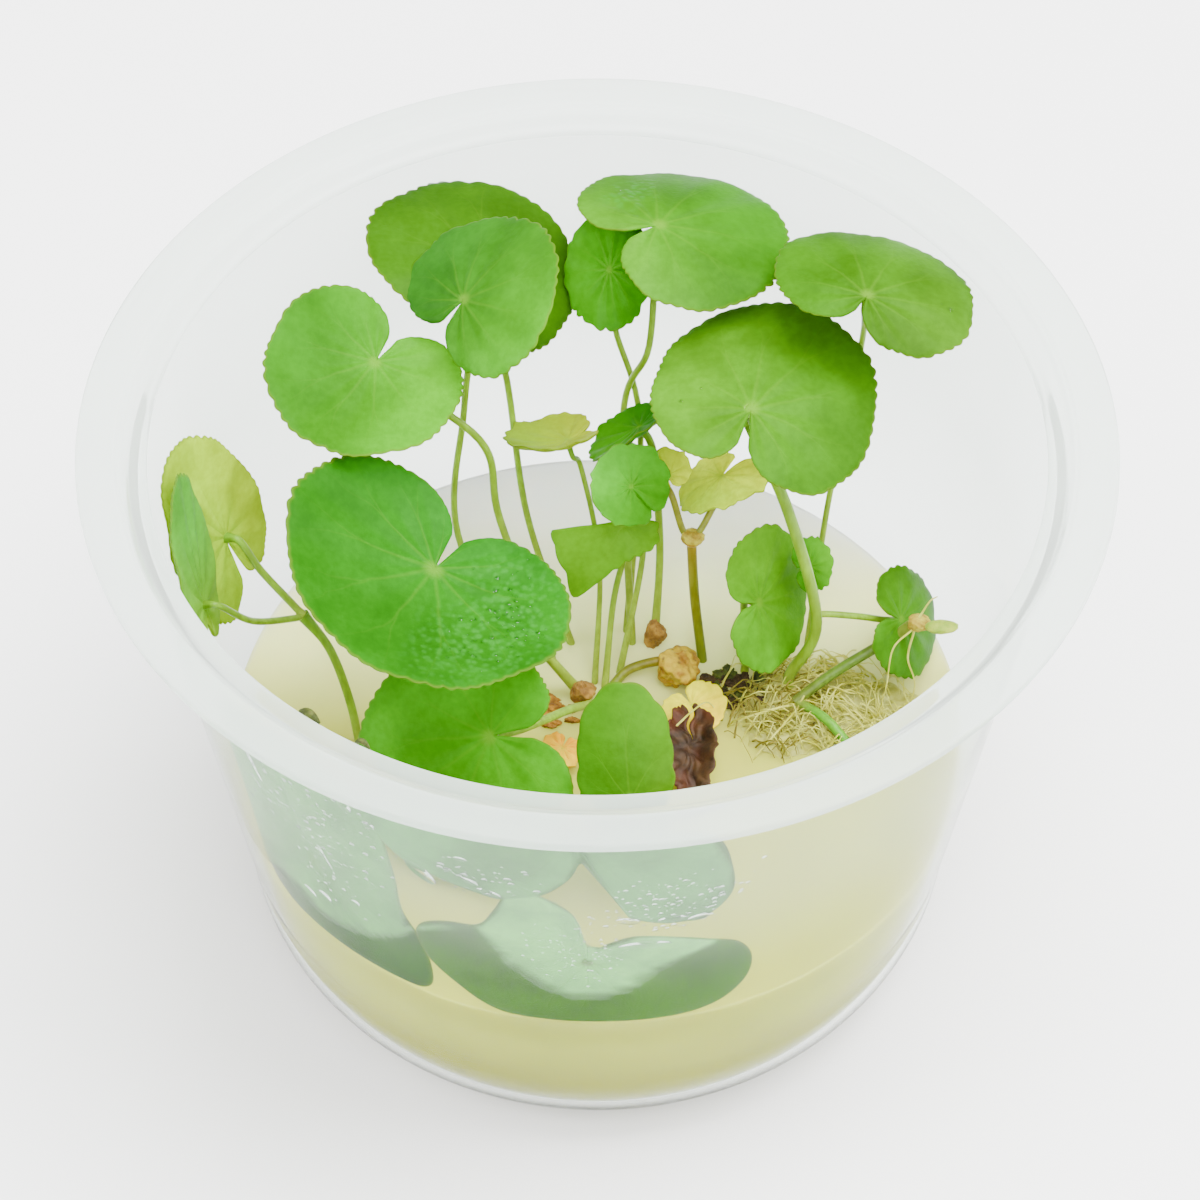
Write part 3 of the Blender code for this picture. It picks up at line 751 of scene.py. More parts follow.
def make_blade(name, leaf, look, material, seed, shape=None, lightness=None):
    """A blade. It may be given a shape of its own, and its lighter tone, which is painted light, may be laid
    out by a function of the place instead of by the side it lies on."""
    steps = SCALLOP_STEPS * max(8, round(2 * NOTCH_EDGE * leaf.radius / look.pitch))
    notch_edge = NOTCH_EDGE if leaf.notch >= OPEN_NOTCH else CLOSED_EDGE
    turns = np.linspace(-notch_edge, notch_edge, steps + 1)
    share, turn = np.meshgrid(RINGS, turns, indexing="ij")
    middle = blade_grid(leaf, look, share, turn, seed)
    origin = np.array([[0.0]])
    centre = blade_grid(leaf, look, origin, origin, seed)
    if shape:
        middle, centre = shape(middle, share, turn), shape(centre, origin, origin)
    normal = leaf_axes(leaf)[2]
    normals = grid_normals(middle, normal)
    to_margin = np.minimum(1 - share, (notch_edge - np.abs(turn)) * share) * leaf.radius
    half = MARGIN_THICKNESS + HALF_THICKNESS * np.sqrt(np.clip(to_margin / MARGIN_BEVEL, 0, 1))
    # The lighter tone is painted light, laid on the side that the look names.
    painted_light_share = 0.5 + 0.5 * np.cos(turn - math.radians(look.side)) * np.clip(share * 1.6, 0, 1)
    at_centre = 0.5
    if lightness:
        painted_light_share, at_centre = lightness(middle), lightness(centre).item()
    points = []
    for sign in (1, -1):
        sheet = middle + normals * half[..., None] * sign
        points += [centre[0, 0] + np.array(normal) * HALF_THICKNESS * sign, *sheet.reshape(-1, 3)]
    maps = np.array([(0.5, 0.0), *zip((turn / math.tau + 0.5).ravel(), share.ravel())] * 2)
    mix = np.clip(np.array([at_centre, *painted_light_share.ravel()] * 2), 0, 1)[:, None] ** TONE_STEEPNESS
    made = smooth_mesh(name, points, blade_faces(len(turns)), material)
    tone = np.array(look.tone) * (1 - mix) + np.array(look.light) * mix
    colours = np.concatenate([tone, np.ones((len(tone), 1))], axis=1).astype(np.float32)
    made.data.attributes.new("tone", "FLOAT_COLOR", "POINT").data.foreach_set("color", colours.ravel())
    if name in DEWY:
        vertex_numbers(made.data, "wet", dew_on(name, maps))
    loops = np.zeros(len(made.data.loops), np.int32)
    made.data.loops.foreach_get("vertex_index", loops)
    made.data.uv_layers.new(name="blade").data.foreach_set("uv", maps[loops].ravel())
    return made


print(f"blades of {len(RINGS)} rings, {2 * (HALF_THICKNESS + MARGIN_THICKNESS):.2f} mm thick")

# %% [markdown]
# Some blades have an outline that no formula gives: the folded one and the oval one, and the three that are
# pressed to the inside of the wall. Their outlines are given as a few corners and smoothed. Behind the
# fogged wall a blade looks pale, so the lighter tone lies there: painted light that stands in for the glow
# of the fog.

# %% Outlined blades


def reach_of(outline):
    """For an outline of (ahead, aside) millimetres round the stalk, how far it is at each turn."""
    around = smooth_route([(ahead, aside, 0) for ahead, aside in outline], 6)
    turns = np.unwrap([math.atan2(p.y, p.x) for p in around])
    turns -= math.tau * round((turns[0] + turns[-1]) / 2 / math.tau)
    reaches = [math.hypot(p.x, p.y) for p in around]
    return lambda turn: np.interp(turn, turns, reaches)


def traced(leaf, outline, cup, roll):
    """A shape step for a blade whose outline is its own, slightly cupped and rolled along its length."""
    ahead, side, normal = (np.array(axis) for axis in leaf_axes(leaf))
    reach_at = reach_of(outline)

    def lay(points, share, turn):
        near_margin = np.clip((share - 0.8) / 0.2, 0, 1) ** 2
        reach = share * reach_at(turn) - near_margin * 0.3 * (1 - np.abs(np.sin(turn * 9 + np.sin(turn * 2))))
        u, v = reach * np.cos(turn), reach * np.sin(turn)
        bend = cup * (u * u + v * v) + roll * v * v + 0.25 * share**3 * np.sin(turn * 5 + 1)
        flat = np.multiply.outer(u, ahead) + np.multiply.outer(v, side)
        return np.array(leaf.at) + (flat + np.multiply.outer(bend, normal))

    return lay


def pressed(leaf, outline):
    """A shape step that lays a blade along the wall, out to an outline of headings and heights."""
    middle = np.array((math.degrees(math.atan2(leaf.at[0], -leaf.at[1])), leaf.at[2]))
    around = [(middle[1] - height, (heading - middle[0]) * WALL_ARC) for heading, height in outline]
    reach_at = reach_of(around)

    def lay(points, share, turn):
        reach = share * reach_at(turn)
        heading = np.radians(middle[0] + reach * np.sin(turn) / WALL_ARC)
        height = np.maximum(middle[1] - reach * np.cos(turn), GEL_TOP + 0.7)
        radius = inner_wall(height) - 0.32 - 1.2 * (1 - share) ** 1.5
        return np.stack([radius * np.sin(heading), -radius * np.cos(heading), height], axis=-1)

    return lay


def painted_fog_glow(points):
    """The lighter tone, painted light for the glow of the fog, lies where the wall in front of a blade is
    fogged.
    """
    headings = np.degrees(np.arctan2(points[..., 0], -points[..., 1]))
    return fogged(headings, points[..., 2])


print("outline helpers ready")

# %% [markdown]
# These are the outlines. The first two are in millimetres ahead of the stalk and aside from it. Those on
# the wall are headings and heights, as the fog is.

# %% Outlines
# The folded leaf and the oval one, as (ahead, aside) from the stalk, in millimetres
FREE_OUTLINES = {
    "low_bright": (
        (-0.5, -0.3), (-0.2, -2.3), (-0.1, -4.5), (0.0, -7.1), (0.9, -7.6), (2.5, -7.2), (4.9, -6.3),
        (7.3, -5.5), (5.6, -2.8), (3.8, 0.2), (2.4, 3.2), (0.6, 3.7), (-0.3, 3.2), (-0.5, 0.4),
    ),
    "front_oval": (
        (-5, -1), (-3.5, -3.6), (0, -4.4), (4, -4.5), (8, -4.0), (10.8, -2.2), (11.8, 0.2), (10.9, 2.6),
        (8, 4.6), (4, 5.1), (0, 5.0), (-3.5, 3.6), (-5, 1),
    ),
}
WALL_OUTLINES = {
    "wall_left": (
        (-46, 63), (-54, 61), (-57, 54), (-57.5, 44), (-58, 36), (-58.5, 29), (-56, 26.5), (-50, 25.5),
        (-43, 25.4), (-36, 25.4), (-29, 25.6), (-25.5, 27.5), (-25, 32), (-26, 36.5), (-28, 41),
        (-28, 47), (-28.5, 53), (-29, 58), (-33, 62), (-42, 63),
    ),
    "wall_front": (
        (-1.5, 41.5), (-2, 43), (-3, 47), (-5.5, 49.5), (-9, 51), (-12, 50), (-14, 46.5), (-16.5, 43),
        (-21, 42), (-25, 40), (-26.5, 37), (-25, 33), (-21, 29.5), (-16, 26.5), (-9, 25.5), (0, 25.5),
        (9, 25.7), (16, 26.4), (20, 28), (22.5, 31), (22.5, 35), (20, 38.5), (15.5, 40.5), (11, 42),
        (5.5, 43), (2, 42), (0.5, 41),
    ),
    "wall_high": (
        (-4, 62.5), (-16, 62.5), (-28, 62.5), (-32, 59), (-29.5, 54.5), (-26, 51.5), (-22, 50.5),
        (-17, 49.5), (-12.5, 49), (-7, 51), (-3.5, 54.5), (-2, 57.5), (-0.3, 54.5), (1.6, 50.5),
        (3.4, 47.5), (6, 46), (10, 45), (15, 45.5), (18, 49), (17.5, 54), (15, 60), (9, 62.5),
        (-2, 62.5),
    ),
}
print(f"{len(FREE_OUTLINES) + len(WALL_OUTLINES)} outlines")

# %% [markdown]
# Now every blade can be made. Young and dying leaves are thinner and paler, so they get the thin finish. A
# blade stands for its CAD node where there is one.

# %% Leaf blades
THIN_LEAVES = ("edge_on", "young_left", "young_right", "far_left", "yellow", "scrap")
blades = {}
for seed, (name, look) in enumerate(LOOKS.items()):
    thick = leaf_dewy if "blade_" + name in DEWY else leaf_waxy
    finish = leaf_thin if name in THIN_LEAVES else thick
    leaf = LEAVES[name]
    shaped = ()
    if name in WALL_OUTLINES:
        shaped = (pressed(leaf, WALL_OUTLINES[name]), painted_fog_glow)
    elif name in FREE_OUTLINES:
        shaped = (traced(leaf, FREE_OUTLINES[name], -0.012, -0.02),)
    blades[name] = make_blade("blade_" + name, leaf, look, finish, seed, *shaped)
    settle(blades[name], "leaf_pale" if name in THIN_LEAVES else "leaf_green", *cad_nodes("leaf_" + name))
faces_made = sum(len(blade.data.polygons) for blade in blades.values())
print(f"{len(blades)} leaf blades, {faces_made} faces")

# %% [markdown]
# One leaf has died and dried: it is dark brown, rolled along its length into a trough, and crumpled. The
# same blade function makes it, with a shape step that adds creases, and it gets a finish of its own.

# %% Dead leaf


def dead_finish():
    """Dark brown with rusty patches, and finely wrinkled."""
    made, tree, place = new_material("leaf_dead")
    mottle = fade(tree, noise(tree, place, 500, 5, 0.65), 0.35, 0.65)
    rust = fade(tree, noise(tree, place, 180, 2), 0.45, 0.65)
    colour = blend(tree, mottle, (0.014, 0.007, 0.003), (0.050, 0.023, 0.006))
    colour = blend(tree, rust, colour, (0.060, 0.016, 0.004))
    normal = dents(tree, noise(tree, place, 900, 4), 0.0002, 0.8)
    return worn(made, skin(tree, colour, 0.6, normal=normal, specular=0.2))


def crumpled(points, share, turn):
    """Pushes a blade about by a fraction of a millimetre, as drying does, and keeps it above the gel."""
    x, y, z = (points[..., k] for k in range(3))
    moved = points.copy()
    moved[..., 2] += 0.30 * np.sin(2.1 * x + 1.3 * y) * np.cos(1.7 * y)
    moved[..., 0] += 0.22 * np.sin(1.9 * y + 2.3 * z)
    moved[..., 2] = np.maximum(moved[..., 2], GEL_TOP + 0.3)
    return moved


DEAD_SEED = 31
dead_look = Look((0.1, 0.05, 0.02), (0.1, 0.05, 0.02), 0, 1.6, 0.35, 0.3)
dead = make_blade("blade_brown", LEAVES["brown"], dead_look, dead_finish(), DEAD_SEED, crumpled)
settle(dead, "leaf_dead", "leaf_brown")
print("dead leaf:", len(dead.data.polygons), "faces")

# %% [markdown]
# A stalk is listed as its radius and the points that it passes, in millimetres. Most start in the gel. Five
# start on a stem, and their feet are listed by themselves.

# %% Stalks
STALKS = {
    "upper_left": (0.40, (-4.6, 9.4, 26.1), (-9.9, 13.9, 42), (-11.8, 14.8, 53)),
    "back_left": (0.35, (-2.6, 11.6, 26.1), (-7.2, 18.0, 38), (-9.2, 24.0, 52)),
    "back_near": (0.35, (-7.0, 7.4, 26.1), (-14.2, 13.6, 40), (-13.4, 18.0, 54)),
    "top_centre": (0.35, (3.6, 11.6, 26.1), (2.6, 23.4, 47), (5.2, 24.0, 57)),
    "dark_back": (0.32, (3.0, 13.2, 26.1), (4.4, 23.6, 45), (1.8, 27.4, 56)),
    "top_right": (0.32, (21.8, 11.6, 26.1), (23.4, 15.6, 42), (26.4, 22.0, 59)),
    "right_large": (0.60, (19.8, 5.6, 27.6), (22.2, 5.4, 36), (19.0, 6.8, 51)),
    "front_large": (0.50, (-1.6, 5.2, 26.1), (-7.2, 3.4, 36), (-14.0, -0.5, 47)),
    "front_low": (0.45, (0.2, 4.0, 26.2), (-2.6, -1.4, 30.4), (-7.4, -8.6, 36)),
    "front_oval": (0.40, (2.6, 2.2, 26.2), (3.2, -7.0, 30), (4.6, -14.4, 35.4)),
    "centre_small": (0.32, (2.2, 7.6, 26.1), (4.6, 13.2, 37), (4.3, 14.6, 44.5)),
    "edge_on": (0.28, (-0.3, 6.2, 26.1), (0.2, 12.4, 37), (-1.6, 16.2, 47)),
    "small_folded": (0.40, (5.9, 12.3, 26.1), (6.4, 15.0, 36), (5.8, 17.8, 46)),
    "low_bright": (0.32, (0.7, 5.4, 26.1), (1.6, 9.6, 34), (2.8, 12.0, 39.5)),
    "young_left": (0.35, (8.6, 11.9, 42.8), (7.5, 13.6, 46)),
    "young_right": (0.35, (10.6, 12.2, 42.8), (12.2, 14.4, 44.6)),
    "kidney_right": (0.40, (15.2, 8.0, 27.3), (15.0, 8.6, 33)),
    "far_right": (0.35, (23.2, 6.8, 35.6), (26.6, 7.0, 35)),
    "far_left": (0.40, (-30.6, 2.8, 41.8), (-33.6, 3.6, 46)),
    "far_left_near": (0.35, (-30.4, 1.4, 41.2), (-34.2, -2.4, 45.2)),
    "wall_left": (0.40, (-26.6, -7.0, 26.1), (-29.4, -16.0, 30), (-26.8, -22.6, 35)),
    "wall_front": (0.40, (-4.2, -22.0, 26.2), (-5.6, -31.0, 30.6)),
    "wall_high": (0.40, (-7.0, -26.0, 26.2), (-6.8, -34.0, 38), (-6.2, -38.4, 52)),
}
UPRIGHT_TOP = (9.6, 11.4, 41.6)
LEFT_RUNNER_TOP = (-29.6, 2.4, 40.6)
FOOTS = {
    "young_left": UPRIGHT_TOP,
    "young_right": UPRIGHT_TOP,
    "far_left": LEFT_RUNNER_TOP,
    "far_left_near": LEFT_RUNNER_TOP,
    "far_right": (21.6, 6.2, 36.0),
}
print(f"{len(STALKS)} stalks listed, {len(FOOTS)} of them on stems")

# %% [markdown]
# Stalks are juicy and pale at the foot and greener towards the blade. Each follows a few points, smoothed,
# much as in the CAD source, but their feet come closer together here. A foot that stands in the gel is sunk
# a little, so no gap shows under it, and the top runs up to the blade and widens where it joins. The two
# stalks that fork from the upright stem are brown like it. The finish reads how far along the stalk a point
# is.

# %% Stalk skins


def stalk_finish(name, foot, middle, top, through=0.15):
    """A juicy green tube, striped along its length, that changes colour from foot to top."""
    made, tree, place = new_material(name)
    along = add(tree, "ShaderNodeAttribute", attribute_name="along").outputs["Fac"]
    colour = blend(tree, fade(tree, along, 0.0, 0.35), foot, middle)
    colour = blend(tree, fade(tree, along, 0.4, 1.0), colour, top)
    squeezed = add(tree, "ShaderNodeMapping", {"Vector": place, "Scale": (1, 1, 0.15)}).outputs[0]
    stripes = fade(tree, noise(tree, squeezed, 1800, 3), 0.3, 0.7, 0.82, 1.12)
    blotch = fade(tree, noise(tree, place, 300, 3), 0.3, 0.7, 0.88, 1.1)
    colour = shaded(tree, colour, calc(tree, "MULTIPLY", stripes, blotch))
    normal = dents(tree, noise(tree, squeezed, 2400, 3), 0.00005, 0.5)
    surface = skin(tree, colour, 0.34, normal=normal, specular=0.2)
    return worn(made, let_through(tree, through, surface, colour))


stalk_green = stalk_finish("stalk_green", (0.28, 0.38, 0.03), (0.17, 0.30, 0.01), (0.11, 0.25, 0.006))
stem_brown = stalk_finish("stem_brown", (0.13, 0.17, 0.010), (0.15, 0.15, 0.010), (0.26, 0.15, 0.012), 0.0)
SUNK = 0.5
BLADE_GAP = 0.05
NECK = 1.8
for name, (radius, *points) in STALKS.items():
    leaf = LEAVES[name]
    normal = leaf_axes(leaf)[2]
    start = FOOTS.get(name)
    if start is None:
        start = (*points[0][:2], GEL_TOP - SUNK)
        points = points[1:] if points[0][2] < GEL_TOP + 2 else points
    ends = [Vector(leaf.at) - normal * back for back in (NECK, BLADE_GAP)]
    route = smooth_route([start, *points, *ends], 10)
    radii = []
    for i in range(len(route)):
        flare = 1 + 0.5 * max(0.0, 1 - (len(route) - 1 - i) / 8) ** 2
        foot = 1 + 0.25 * max(0.0, 1 - i / 6)
        radii.append(radius * flare * foot)
    stalk = tubes("stalk_of_" + name, [(route, radii)], stem_brown if start is UPRIGHT_TOP else stalk_green)
    settle(stalk, "stalk_green", *cad_nodes("stalk_" + name))
print(f"{len(STALKS)} stalks")

# %% [markdown]
# The stems are where stalks and roots start. The upright stem is green-brown and swells towards the brown
# node where it forks. The runners lie on or over the gel, and each has a green or an olive of its own.

# %% Stems and runners
OLIVE = ((0.09, 0.12, 0.01), (0.08, 0.15, 0.01), (0.16, 0.21, 0.02))
BRIGHT = ((0.16, 0.21, 0.02), (0.09, 0.27, 0.008), (0.08, 0.26, 0.006))
runner_olive = stalk_finish("runner_olive", *OLIVE, 0.05)
runner_bright = stalk_finish("runner_bright", *BRIGHT, 0.1)
STEMS = {
    "stem_upright": (0.50, stem_brown, (10.9, 9.4, 24.9), (10, 10.9, 33), (9.6, 11.3, 40), (9.6, 11.4, 41.9)),
    "runner_right": (
        0.55, runner_olive, (20.2, 2.4, 27.0), (24.4, 4.4, 29.4), (29.6, 6.4, 31.9), (31.8, 6.2, 34.6),
    ),
    "runner_right_front": (0.50, runner_bright, (20.6, 2.3, 27.0), (23.4, -0.6, 27.6), (26.0, -3.6, 26.4)),
    "runner_left": (
        0.45, stalk_green, (-24.2, -2.1, 24.9), (-25.2, 0.1, 30), (-27.0, 1.7, 36), LEFT_RUNNER_TOP,
    ),
    "runner_crown": (0.50, stem_brown, (1.6, 5.6, 25.8), (3.2, 7, 26.6), (6, 7.6, 27.2), (8.2, 7.6, 27.2)),
}
SWELLS = {"stem_upright": 2.2, "runner_left": 1.5}
for name, (radius, finish, *points) in STEMS.items():
    route = smooth_route(points, 12)
    swell = SWELLS.get(name, 1.0) - 1
    radii = [radius * (1 + swell * max(0.0, 1 - (len(route) - 1 - i) / 9) ** 1.5) for i in range(len(route))]
    stem = tubes(name + "_skin", [(route, radii)], finish, 16)
    settle(stem, "stem_brown" if finish is stem_brown else "stalk_green", *cad_nodes(name))
print(f"{len(STEMS)} stems and runners")

# %% [markdown]
# The swollen parts of the plant aren't smooth balls: the callus is a crumbly cream lump, the sheaths are
# folded papery scales, and the node at the far right is pale and bumpy. Each is a finely divided ball,
# pushed in and out by layered waves, so its bumps are real shape.

# %% Callus, sheaths, node and bud


def lump_finish(name, light, dark, spots, scale, roughness=0.65):
    """A crumbly surface of two tones with darker pits."""
    made, tree, place = new_material(name)
    mottle = fade(tree, noise(tree, place, scale, 5, 0.6), 0.35, 0.65)
    cells = add(tree, "ShaderNodeTexVoronoi", {"Vector": place, "Scale": scale * 1.6}).outputs["Distance"]
    pits = calc(tree, "MULTIPLY", fade(tree, cells, 0.05, 0.35, 1.0, 0.0), spots)
    colour = blend(tree, mottle, light, dark)
    colour = blend(tree, pits, colour, (0.10, 0.055, 0.02))
    height = calc(tree, "MULTIPLY_ADD", cells, 0.6, noise(tree, place, scale * 4, 4))
    normal = dents(tree, height, 0.0002, 0.7)
    return worn(made, skin(tree, colour, roughness, normal=normal, specular=0.2))


def make_lump(name, place, radii, material, rough, pointed=0.0):
    """A ball with its own three radii, an uneven surface and an upper end that may draw to a point."""
    bm = bmesh.new()
    bmesh.ops.create_icosphere(bm, subdivisions=5, radius=1)
    for vert in bm.verts:
        x, y, z = vert.co
        coarse = math.sin(3.1 * x + 1 + place[0]) * math.cos(3.7 * y + place[1]) + math.sin(4.3 * z + 2 * x)
        fine = math.sin(9 * x + 2) * math.sin(10 * y + 1) * math.cos(8 * z)
        swell = 1 + rough * (0.5 * coarse + 0.45 * fine)
        slim = 1 - pointed * max(0.0, z) ** 1.5
        vert.co = Vector((x * swell * slim, y * swell * slim, z * swell))
        vert.co = Vector(c + r * n for c, r, n in zip(place, radii, vert.co)) * MM
    return from_bmesh(name, bm, material)


callus_cream = lump_finish("callus_cream", (0.46, 0.31, 0.015), (0.22, 0.095, 0.006), 0.85, 700)
sheath_paper = lump_finish("sheath_paper", (0.36, 0.19, 0.03), (0.17, 0.08, 0.015), 0.3, 900)
node_tissue = lump_finish("node_tissue", (0.42, 0.36, 0.03), (0.24, 0.15, 0.010), 0.35, 900)
bud_green = lump_finish("bud_green", (0.32, 0.38, 0.03), (0.20, 0.30, 0.015), 0.0, 800, 0.45)
# Each lump's middle and radii, its finish, how uneven and how pointed it is, and its slot
LUMPS = {
    "callus": ((8.2, 6.6, 27.5), (2.05, 2.05, 1.9), callus_cream, 0.27, 0.0, "callus"),
    "sheath_right": ((5.9, 11.6, 27.1), (1.15, 1.0, 2.1), sheath_paper, 0.22, 0.7, "stem_brown"),
    "sheath_left": ((-1.6, 4.2, 26.5), (1.3, 1.0, 1.5), sheath_paper, 0.24, 0.6, "stem_brown"),
    "node_right": ((32.6, 5.6, 35.6), (1.2, 0.95, 0.95), node_tissue, 0.18, 0.0, "stem_brown"),
    "bud_right": ((34.8, 4.4, 36.4), (1.7, 0.85, 0.65), bud_green, 0.08, 0.3, "leaf_pale"),
    "stem_node": ((9.6, 11.4, 42.1), (1.15, 1.0, 0.8), node_tissue, 0.16, 0.0, "stem_brown"),
}
for name, (place, radii, finish, rough, pointed, slot) in LUMPS.items():
    settle(make_lump(name + "_skin", place, radii, finish, rough, pointed), slot, *cad_nodes(name))
print(f"{len(LUMPS)} lumps")

# %% [markdown]
# The roots at the right form a felt on the gel: a low tan mat, with hundreds of fine strands that loop over
# it, cream ones everywhere and brown ones among them on the left. The mat is a patch of rings with a torn
# edge. The strands are drawn from a seeded random walk that keeps turning a little and comes back down to
# the gel, and the tubes tree gives them their skin.

# %% Roots
MAT_CENTRE = np.array((22.5, 2.6))
MAT_RADII = np.array((9.6, 6.2))
MAT_SUNK = 0.2
MAT_RISE = 0.7


def root_finish(name, light, dark):
    """Fine mottled threads that some light comes through."""
    made, tree, place = new_material(name)
    colour = blend(tree, fade(tree, noise(tree, place, 600, 4), 0.3, 0.7), light, dark)
    normal = dents(tree, noise(tree, place, 2500, 3), 0.00008, 0.6)
    return worn(made, let_through(tree, 0.2, skin(tree, colour, 0.5, normal=normal, specular=0.2), colour))


root_cream = root_finish("root_cream", (0.62, 0.62, 0.12), (0.42, 0.40, 0.03))
root_tan = root_finish("root_tan", (0.52, 0.52, 0.13), (0.30, 0.29, 0.035))
root_brown = root_finish("root_brown", (0.30, 0.25, 0.03), (0.13, 0.11, 0.012))
mat_turns = np.linspace(0, math.tau, 181)[:-1]
mat_shares = np.linspace(0.04, 1.0, 24)
share, turn = np.meshgrid(mat_shares, mat_turns, indexing="ij")
torn = 1 + 0.08 * np.sin(3 * turn + 1) + 0.06 * np.sin(5 * turn) + share**3 * 0.05 * np.sin(17 * turn + 3)
mat_x = MAT_CENTRE[0] + MAT_RADII[0] * share * torn * np.cos(turn)
mat_y = MAT_CENTRE[1] + MAT_RADII[1] * share * torn * np.sin(turn)
bumps = 0.35 * np.sin(1.9 * mat_x) * np.cos(2.3 * mat_y) + 0.2 * np.sin(5.1 * mat_x + 3.7 * mat_y)
mat_z = GEL_TOP - MAT_SUNK + (MAT_RISE + bumps) * np.sqrt(np.clip(1 - share**2, 0, 1))
mat_points = np.stack([mat_x, mat_y, mat_z], axis=-1).reshape(-1, 3).tolist()
mat_points += [[*MAT_CENTRE, GEL_TOP + 0.9], [*MAT_CENTRE, GEL_TOP - MAT_SUNK - 0.1]]
per_ring = len(mat_turns)
top_centre, floor_centre = len(mat_points) - 2, len(mat_points) - 1
last_ring = per_ring * (len(mat_shares) - 1)
mat_faces = []
for i in range(per_ring):
    j = (i + 1) % per_ring
    mat_faces.append((top_centre, i, j))
    mat_faces.append((floor_centre, last_ring + j, last_ring + i))
    for r in range(len(mat_shares) - 1):
        low = r * per_ring
        mat_faces.append((low + i, low + per_ring + i, low + per_ring + j, low + j))
mat = smooth_mesh("root_felt", mat_points, mat_faces, root_tan)
settle(mat, "root", "root_mat")
print(f"root felt of {len(mat.data.polygons)} faces")

# %% [markdown]
# A strand is a random walk. It starts somewhere over the mat and heads inward, more or less. The random
# numbers are seeded, so every run gives the same tangle.

# %% Root strands
dice = random.Random(7)


def wandering_root(start, heading, length, lift, radius):
    """A root that loops up from the gel and back, turning a little at each step."""
    steps = max(8, round(length / 0.5))
    x, y = start
    route, radii = [], []
    drift = dice.uniform(-0.25, 0.25)
    for i in range(steps + 1):
        t = i / steps
        drift += dice.uniform(-0.12, 0.12)
        heading += drift * 0.5
        x += math.cos(heading) * length / steps
        y += math.sin(heading) * length / steps
        z = GEL_TOP + 0.1 + lift * math.sin(math.pi * t) + 0.15 * math.sin(5 * t * math.pi)
        route.append((x, y, max(z, GEL_TOP - 0.2)))
        radii.append(radius * (1 - 0.5 * t))
    return route, radii


DARK_SIDE = 21
STRANDS = 320
strands, dark_strands = [], []
for _ in range(STRANDS):
    angle = dice.uniform(0, math.tau)
    far = math.sqrt(dice.uniform(0, 1)) * 0.95
    start = MAT_CENTRE + MAT_RADII * 1.2 * far * np.array((math.cos(angle), math.sin(angle)))
    inward = math.atan2(*(MAT_CENTRE - start)[::-1])
    length = dice.uniform(2.5, 9.0) * (1 - 0.4 * far)
    heading = inward + dice.uniform(-1.2, 1.2)
    heap = dark_strands if start[0] < DARK_SIDE and dice.random() < 0.5 else strands
    heap.append(wandering_root(start, heading, length, dice.uniform(0.6, 2.4), dice.uniform(0.05, 0.13)))
tangles = {"root_tangle": (strands, root_cream), "root_tangle_dark": (dark_strands, root_brown)}
for name, (heap, finish) in tangles.items():
    tangle = tubes(name, heap, finish, 6)
    settle(tangle, "root")
    print(f"{len(heap)} strands in {name}, {len(tangle.data.polygons)} faces")

# %% [markdown]
# A few longer roots show on their own: two white ones run forward from the foot of the runners, two hang
# from the node at the far right, where a short tip points up, and one thin pale root lies over the dead
# leaf.

# %% Single roots
SINGLE_ROOTS = (
    (0.16, (20.4, 2.2, 26.9), (17.4, 1.0, 27.2), (14.2, 0.6, 26.0), (13.2, 0.4, 25.2)),
    (0.14, (20.6, 1.8, 26.8), (18.6, -1.0, 26.8), (16.4, -3.4, 25.8), (15.8, -4.0, 25.1)),
    (0.13, (32.2, 5.4, 34.8), (31.6, 4.0, 32.0), (32.4, 2.8, 29.2), (31.6, 2.0, 25.3)),
    (0.12, (32.6, 5.6, 36.4), (33.6, 6.2, 38.2), (34.4, 6.4, 38.8)),
    (0.11, (31.9, 5.0, 35.2), (30.0, 3.8, 33.6), (29.4, 2.0, 29.6), (28.6, 1.4, 25.6)),
    (0.12, (8.0, -3.0, 29.6), (9.6, -1.4, 30.0), (11.2, 0.6, 29.0), (12.6, 1.0, 26.4)),
)
singles = []
for radius, *points in SINGLE_ROOTS:
    route = smooth_route(points, 12)
    singles.append((route, [radius * (1 - 0.55 * i / len(route)) for i in range(len(route))]))
lone_roots = tubes("single_roots", singles, root_cream, 8)
settle(lone_roots, "root")
print(f"{len(singles)} single roots")

# %% [markdown]
# Crumbs of dead tissue lie on the gel, dark and mossy ones between the callus and the roots and
# orange-brown ones left of the crown. Each is a small ball pressed flat and bent out of shape like the
# lumps, and a heap is one mesh. Two withered leaf tips stand up at the inside of the rim on the left.

# %% Crumbs and leaf tips
crumb_brown = lump_finish("crumb_brown", (0.060, 0.036, 0.010), (0.022, 0.012, 0.004), 0.3, 1200)
crumb_moss = lump_finish("crumb_moss", (0.070, 0.090, 0.010), (0.026, 0.034, 0.004), 0.3, 1200)
crumb_rust = lump_finish("crumb_rust", (0.34, 0.15, 0.010), (0.13, 0.055, 0.006), 0.3, 1200)


def crumb_heap(name, centre, spread, count, finish):
    """Many flat crumbs on the gel as one mesh."""
    bm = bmesh.new()
    for _ in range(count):
        angle, far = dice.uniform(0, math.tau), math.sqrt(dice.uniform(0, 1))
        x = centre[0] + spread[0] * far * math.cos(angle)
        y = centre[1] + spread[1] * far * math.sin(angle)
        radii = (dice.uniform(0.3, 1.0), dice.uniform(0.25, 0.8), dice.uniform(0.2, 0.5))
        crumb = make_lump("crumb", (x, y, GEL_TOP + 0.15), radii, finish, 0.3)
        bm.from_mesh(crumb.data)
        bpy.data.meshes.remove(crumb.data)
    return settle(from_bmesh(name, bm, finish), "stem_brown")


